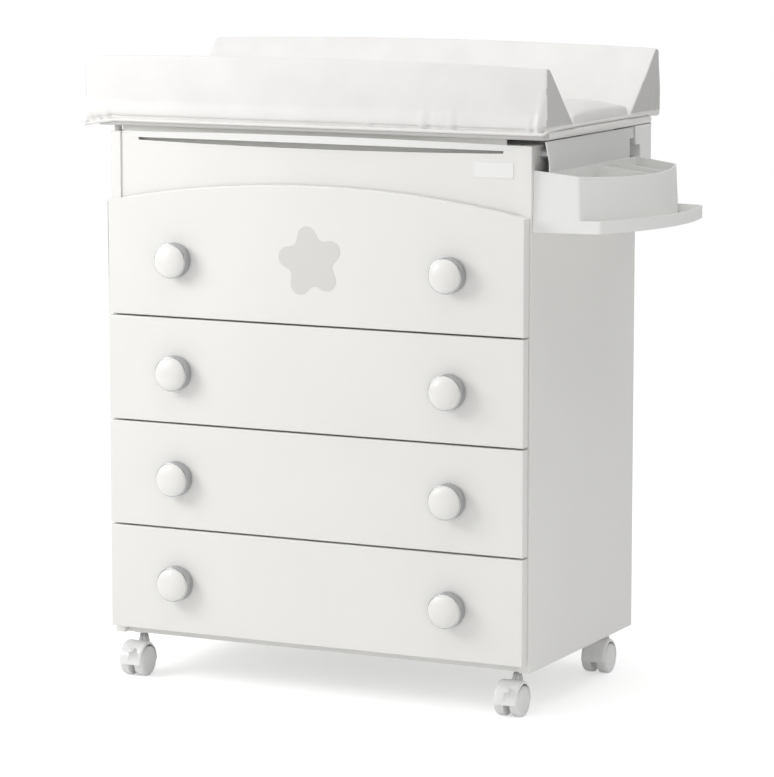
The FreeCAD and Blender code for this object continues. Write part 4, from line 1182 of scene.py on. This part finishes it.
# %% [markdown]
# ## Screws
#
# One screw is modelled: a turned, slightly domed head, cut by upright and level planes into a grid.
# The faces that lie in the arms of a cross are pushed in, which makes the recess for the driver.

# %% Screw model
head_radius, head_height, arm_half, arm_reach, recess = 0.0027, 0.0011, 0.00032, 0.0016, 0.0006
head_rings = [(head_radius, 0.0), (head_radius, 0.0004), (head_radius * 0.92, 0.0008),
              (head_radius * 0.78, head_height)]
screw_model = turned_piece("screw_model", head_rings, 40)
make_active(screw_model)
bpy.ops.object.mode_set(mode="EDIT")
for place in (-arm_reach, -arm_half, arm_half, arm_reach):
    for normal in ((1, 0, 0), (0, 0, 1)):
        bpy.ops.mesh.select_all(action="SELECT")
        bpy.ops.mesh.bisect(plane_co=[place * n for n in normal], plane_no=normal)


def in_cross(middle, normal):
    on_top = middle.y < -head_height + 0.00005
    arm = abs(middle.x) < arm_half or abs(middle.z) < arm_half
    return on_top and arm and max(abs(middle.x), abs(middle.z)) < arm_reach


pick(screw_model, "faces", in_cross)
bpy.ops.mesh.extrude_region_shrink_fatten(TRANSFORM_OT_shrink_fatten={"value": -recess})
bpy.ops.object.mode_set(mode="OBJECT")
bpy.ops.object.shade_smooth_by_angle(angle=math.radians(30))


def add_screw(name, body, place):
    """A screw that is seen from behind, where both the hinges and the back panel are."""
    screw = placed_copy(screw_model, name, Vector())
    screw.data.transform(Matrix.Rotation(math.pi, 4, "Z"))
    screw.data.transform(Matrix.Translation(place))
    seat(screw, body, zinc)


# %% [markdown]
# Each hinge leaf is held by two screws side by side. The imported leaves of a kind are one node, with
# the knuckle above the fixed ones and below the moving ones, so the box of the node gives the edges
# that the screws are measured from.

# %% Screws on the leaves
knuckle, leaf_thickness = 0.003, 0.002
for node, body in (("hinge_leaves_fixed", "chest"), ("hinge_leaves_moving", "changing_top")):
    low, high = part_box(node)
    plate_z = (low.z + high.z - 2 * knuckle) / 2 if body == "chest" else (low.z + 2 * knuckle + high.z) / 2
    leaf_face = high.y - 2 * knuckle + leaf_thickness
    for side, edge_x in ((1, low.x), (-1, high.x)):
        for step, along in enumerate((0.006, 0.018)):
            add_screw(f"{node}_screw_{side}_{step}", body, (edge_x + side * along, leaf_face, plate_z))

# %% [markdown]
# The back panel lies in a rebate and is held by the same screws, a row along each of its four edges.

# %% Screws round the back panel
low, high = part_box("back_panel")
edge_in = 0.012
across = [low.x + edge_in + (high.x - low.x - 2 * edge_in) * share for share in (0.0, 0.25, 0.5, 0.75, 1.0)]
up = [low.z + edge_in + (high.z - low.z - 2 * edge_in) * share for share in (0.0, 0.2, 0.4, 0.6, 0.8, 1.0)]
places = [(x, z) for x in across for z in (up[0], up[-1])]
places += [(x, z) for x in (across[0], across[-1]) for z in up[1:-1]]
for number, (x, z) in enumerate(places, 1):
    add_screw(f"back_panel_screw_{number}", "chest", (x, high.y, z))
bpy.data.objects.remove(screw_model)

# %% [markdown]
# ## Blank name plate
#
# A small plate of thin satin plastic is stuck to the fascia near its right end. It stays blank. It
# is a cube flattened to a millimetre, with rounded corners and a fine bevel all round.

# %% Blank plate
plate_size = Vector((0.068, 0.0012, 0.024))
side_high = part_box("side_panel_right")[1]
plate_middle = Vector((side_high.x - 0.0665, fascia_low.y - plate_size.y / 2, side_high.z - 0.0395))
deselect_all()
bpy.ops.mesh.primitive_cube_add(size=1, location=plate_middle)
blank = bpy.context.object
blank.name = "blank_plate"
blank.scale = plate_size
bpy.ops.object.transform_apply(location=True, rotation=False, scale=True)
bpy.ops.object.mode_set(mode="EDIT")
pick(blank, "edges", lambda middle, run: abs(run.y) > 0.9 * run.length)
bpy.ops.mesh.bevel(offset=0.003, segments=5, affect="EDGES")
bpy.ops.object.mode_set(mode="OBJECT")
round_edges(blank, 0.35)
seat(blank, "chest", tray_plastic)

# %% [markdown]
# ## Camera
#
# The camera stands to the right of the chest and a little above it, far away with a long lens, as
# in a catalogue studio. The far stand keeps the upright edges nearly parallel. Its place and turn
# come from matching the corners of the chest in the photograph.

# %% Camera
camera_yaw = math.radians(26.0)
camera_pitch = math.radians(8.22)
camera_data = bpy.data.cameras.new("camera")
camera_data.lens = 173.9
camera_data.sensor_width = 36.0
camera_data.clip_end = 60.0
camera = bpy.data.objects.new("camera", camera_data)
bpy.context.scene.collection.objects.link(camera)
camera.location = (2.677, -5.554, 1.376)
camera.rotation_euler = (math.pi / 2 - camera_pitch, 0, camera_yaw)
bpy.context.scene.camera = camera
print("camera looks along", [round(v, 3) for v in camera.rotation_euler.to_matrix() @ Vector((0, 0, -1))])

# %% [markdown]
# ## Floor
#
# The chest stands on a round sheet of pale paper that keeps its soft shadow. The world behind is white
# where the camera looks straight into it, so no wall is needed and the chest can be seen from every
# side. The paper has to be white in the picture without lighting the chest from below, so what it
# gives off by itself is seen only by rays from the camera and in mirrors. It gives off a little more
# far out, where less light falls on it, so that its edge doesn't show against the world.

# %% Studio floor
floor_radius, floor_border = 7.0, 3.0
fibre_size_mm, near_glow, far_glow, glow_from, glow_to = 4, 0.47, 0.55, 1.0, 4.0
deselect_all()
bpy.ops.mesh.primitive_circle_add(vertices=48, radius=floor_radius, fill_type="NGON", location=(0, 0, 0))
floor = bpy.context.object
floor.name = "studio_floor"
bpy.ops.object.mode_set(mode="EDIT")
bpy.ops.mesh.select_all(action="SELECT")
bpy.ops.mesh.inset(thickness=floor_border)
bpy.ops.object.mode_set(mode="OBJECT")

paper, place = new_finish("white_studio_paper")
fibres = add_node(paper, "ShaderNodeTexNoise", {
    "Vector": place, "Scale": 1000 / fibre_size_mm, "Detail": 4.0})
paper_bump = add_node(paper, "ShaderNodeBump", {"Height": fibres.outputs["Fac"], "Distance": 0.0001})
matt = add_node(paper, "ShaderNodeBsdfDiffuse", {
    "Color": linear("efefef"), "Normal": paper_bump.outputs["Normal"]})
rays = add_node(paper, "ShaderNodeLightPath")
either = add_node(paper, "ShaderNodeMath", {
    0: rays.outputs["Is Camera Ray"], 1: rays.outputs["Is Glossy Ray"]}, operation="MAXIMUM")
away = add_node(paper, "ShaderNodeVectorMath", {0: place}, operation="LENGTH")
glow = add_node(paper, "ShaderNodeMapRange", {
    "Value": away.outputs["Value"], "From Min": glow_from, "From Max": glow_to,
    "To Min": near_glow, "To Max": far_glow})
seen = add_node(paper, "ShaderNodeMath", {0: either.outputs[0], 1: glow.outputs[0]}, operation="MULTIPLY")
lift = add_node(paper, "ShaderNodeEmission", {"Color": (1, 1, 1, 1), "Strength": seen.outputs[0]})
end_in(paper, add_node(paper, "ShaderNodeAddShader", {0: matt.outputs[0], 1: lift.outputs[0]}))
floor.data.materials.append(paper)
floor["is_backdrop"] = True

# %% [markdown]
# ## Light
#
# The chest is lit by one large soft light high on the left in front, and by pale light from all
# round. The left end of each drawer front is the brightest, and the right side of the chest is
# clearly darker. An area lamp does the first. The world does the second: it is brighter on the left
# than on the right, and plain white where the camera looks straight into it. A weak lamp from the
# right front lifts the tray, and one overhead lifts the mat and deepens the shadow below the chest.

# %% World and lamps
left_level, right_level = 0.67, 0.445
world = bpy.data.worlds.new("pale_room")
bpy.context.scene.world = world
world.use_nodes = True
world.node_tree.nodes.clear()
room_rays = add_node(world, "ShaderNodeLightPath")
direction = add_node(world, "ShaderNodeTexCoord").outputs["Generated"]
facing = add_node(world, "ShaderNodeSeparateXYZ", {"Vector": direction})
level = add_node(world, "ShaderNodeMapRange", {
    "Value": facing.outputs["X"], "From Min": -1.0, "From Max": 1.0,
    "To Min": left_level, "To Max": right_level})
room = add_node(world, "ShaderNodeBackground", {"Color": (1, 1, 1, 1), "Strength": level.outputs["Result"]})
white_room = add_node(world, "ShaderNodeBackground", {"Color": (1, 1, 1, 1), "Strength": 1.0})
chosen = add_node(world, "ShaderNodeMixShader", {
    0: room_rays.outputs["Is Camera Ray"], 1: room.outputs[0], 2: white_room.outputs[0]})
add_node(world, "ShaderNodeOutputWorld", {"Surface": chosen.outputs[0]})


def area_lamp(name, place, target, size, watts):
    lamp = bpy.data.lights.new(name, "AREA")
    lamp.shape = "DISK"
    lamp.size = size
    lamp.energy = watts
    thing = bpy.data.objects.new(name, lamp)
    bpy.context.scene.collection.objects.link(thing)
    thing.location = place
    thing.rotation_euler = (Vector(target) - Vector(place)).to_track_quat("-Z", "Y").to_euler()
    print(name, "at", place)


area_lamp("key_light", (-1.45, -1.38, 1.42), (0.0, -0.2, 0.6), 1.1, 16.7)
area_lamp("ceiling_light", (0.4, -0.3, 3.4), (0.0, 0.0, 0.5), 3.0, 26)
area_lamp("low_fill", (2.3, -2.7, 0.75), (0.36, -0.1, 0.72), 1.2, 7.5)
bpy.context.scene.view_settings.view_transform = "Standard"

# %% Sizes
low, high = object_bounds()
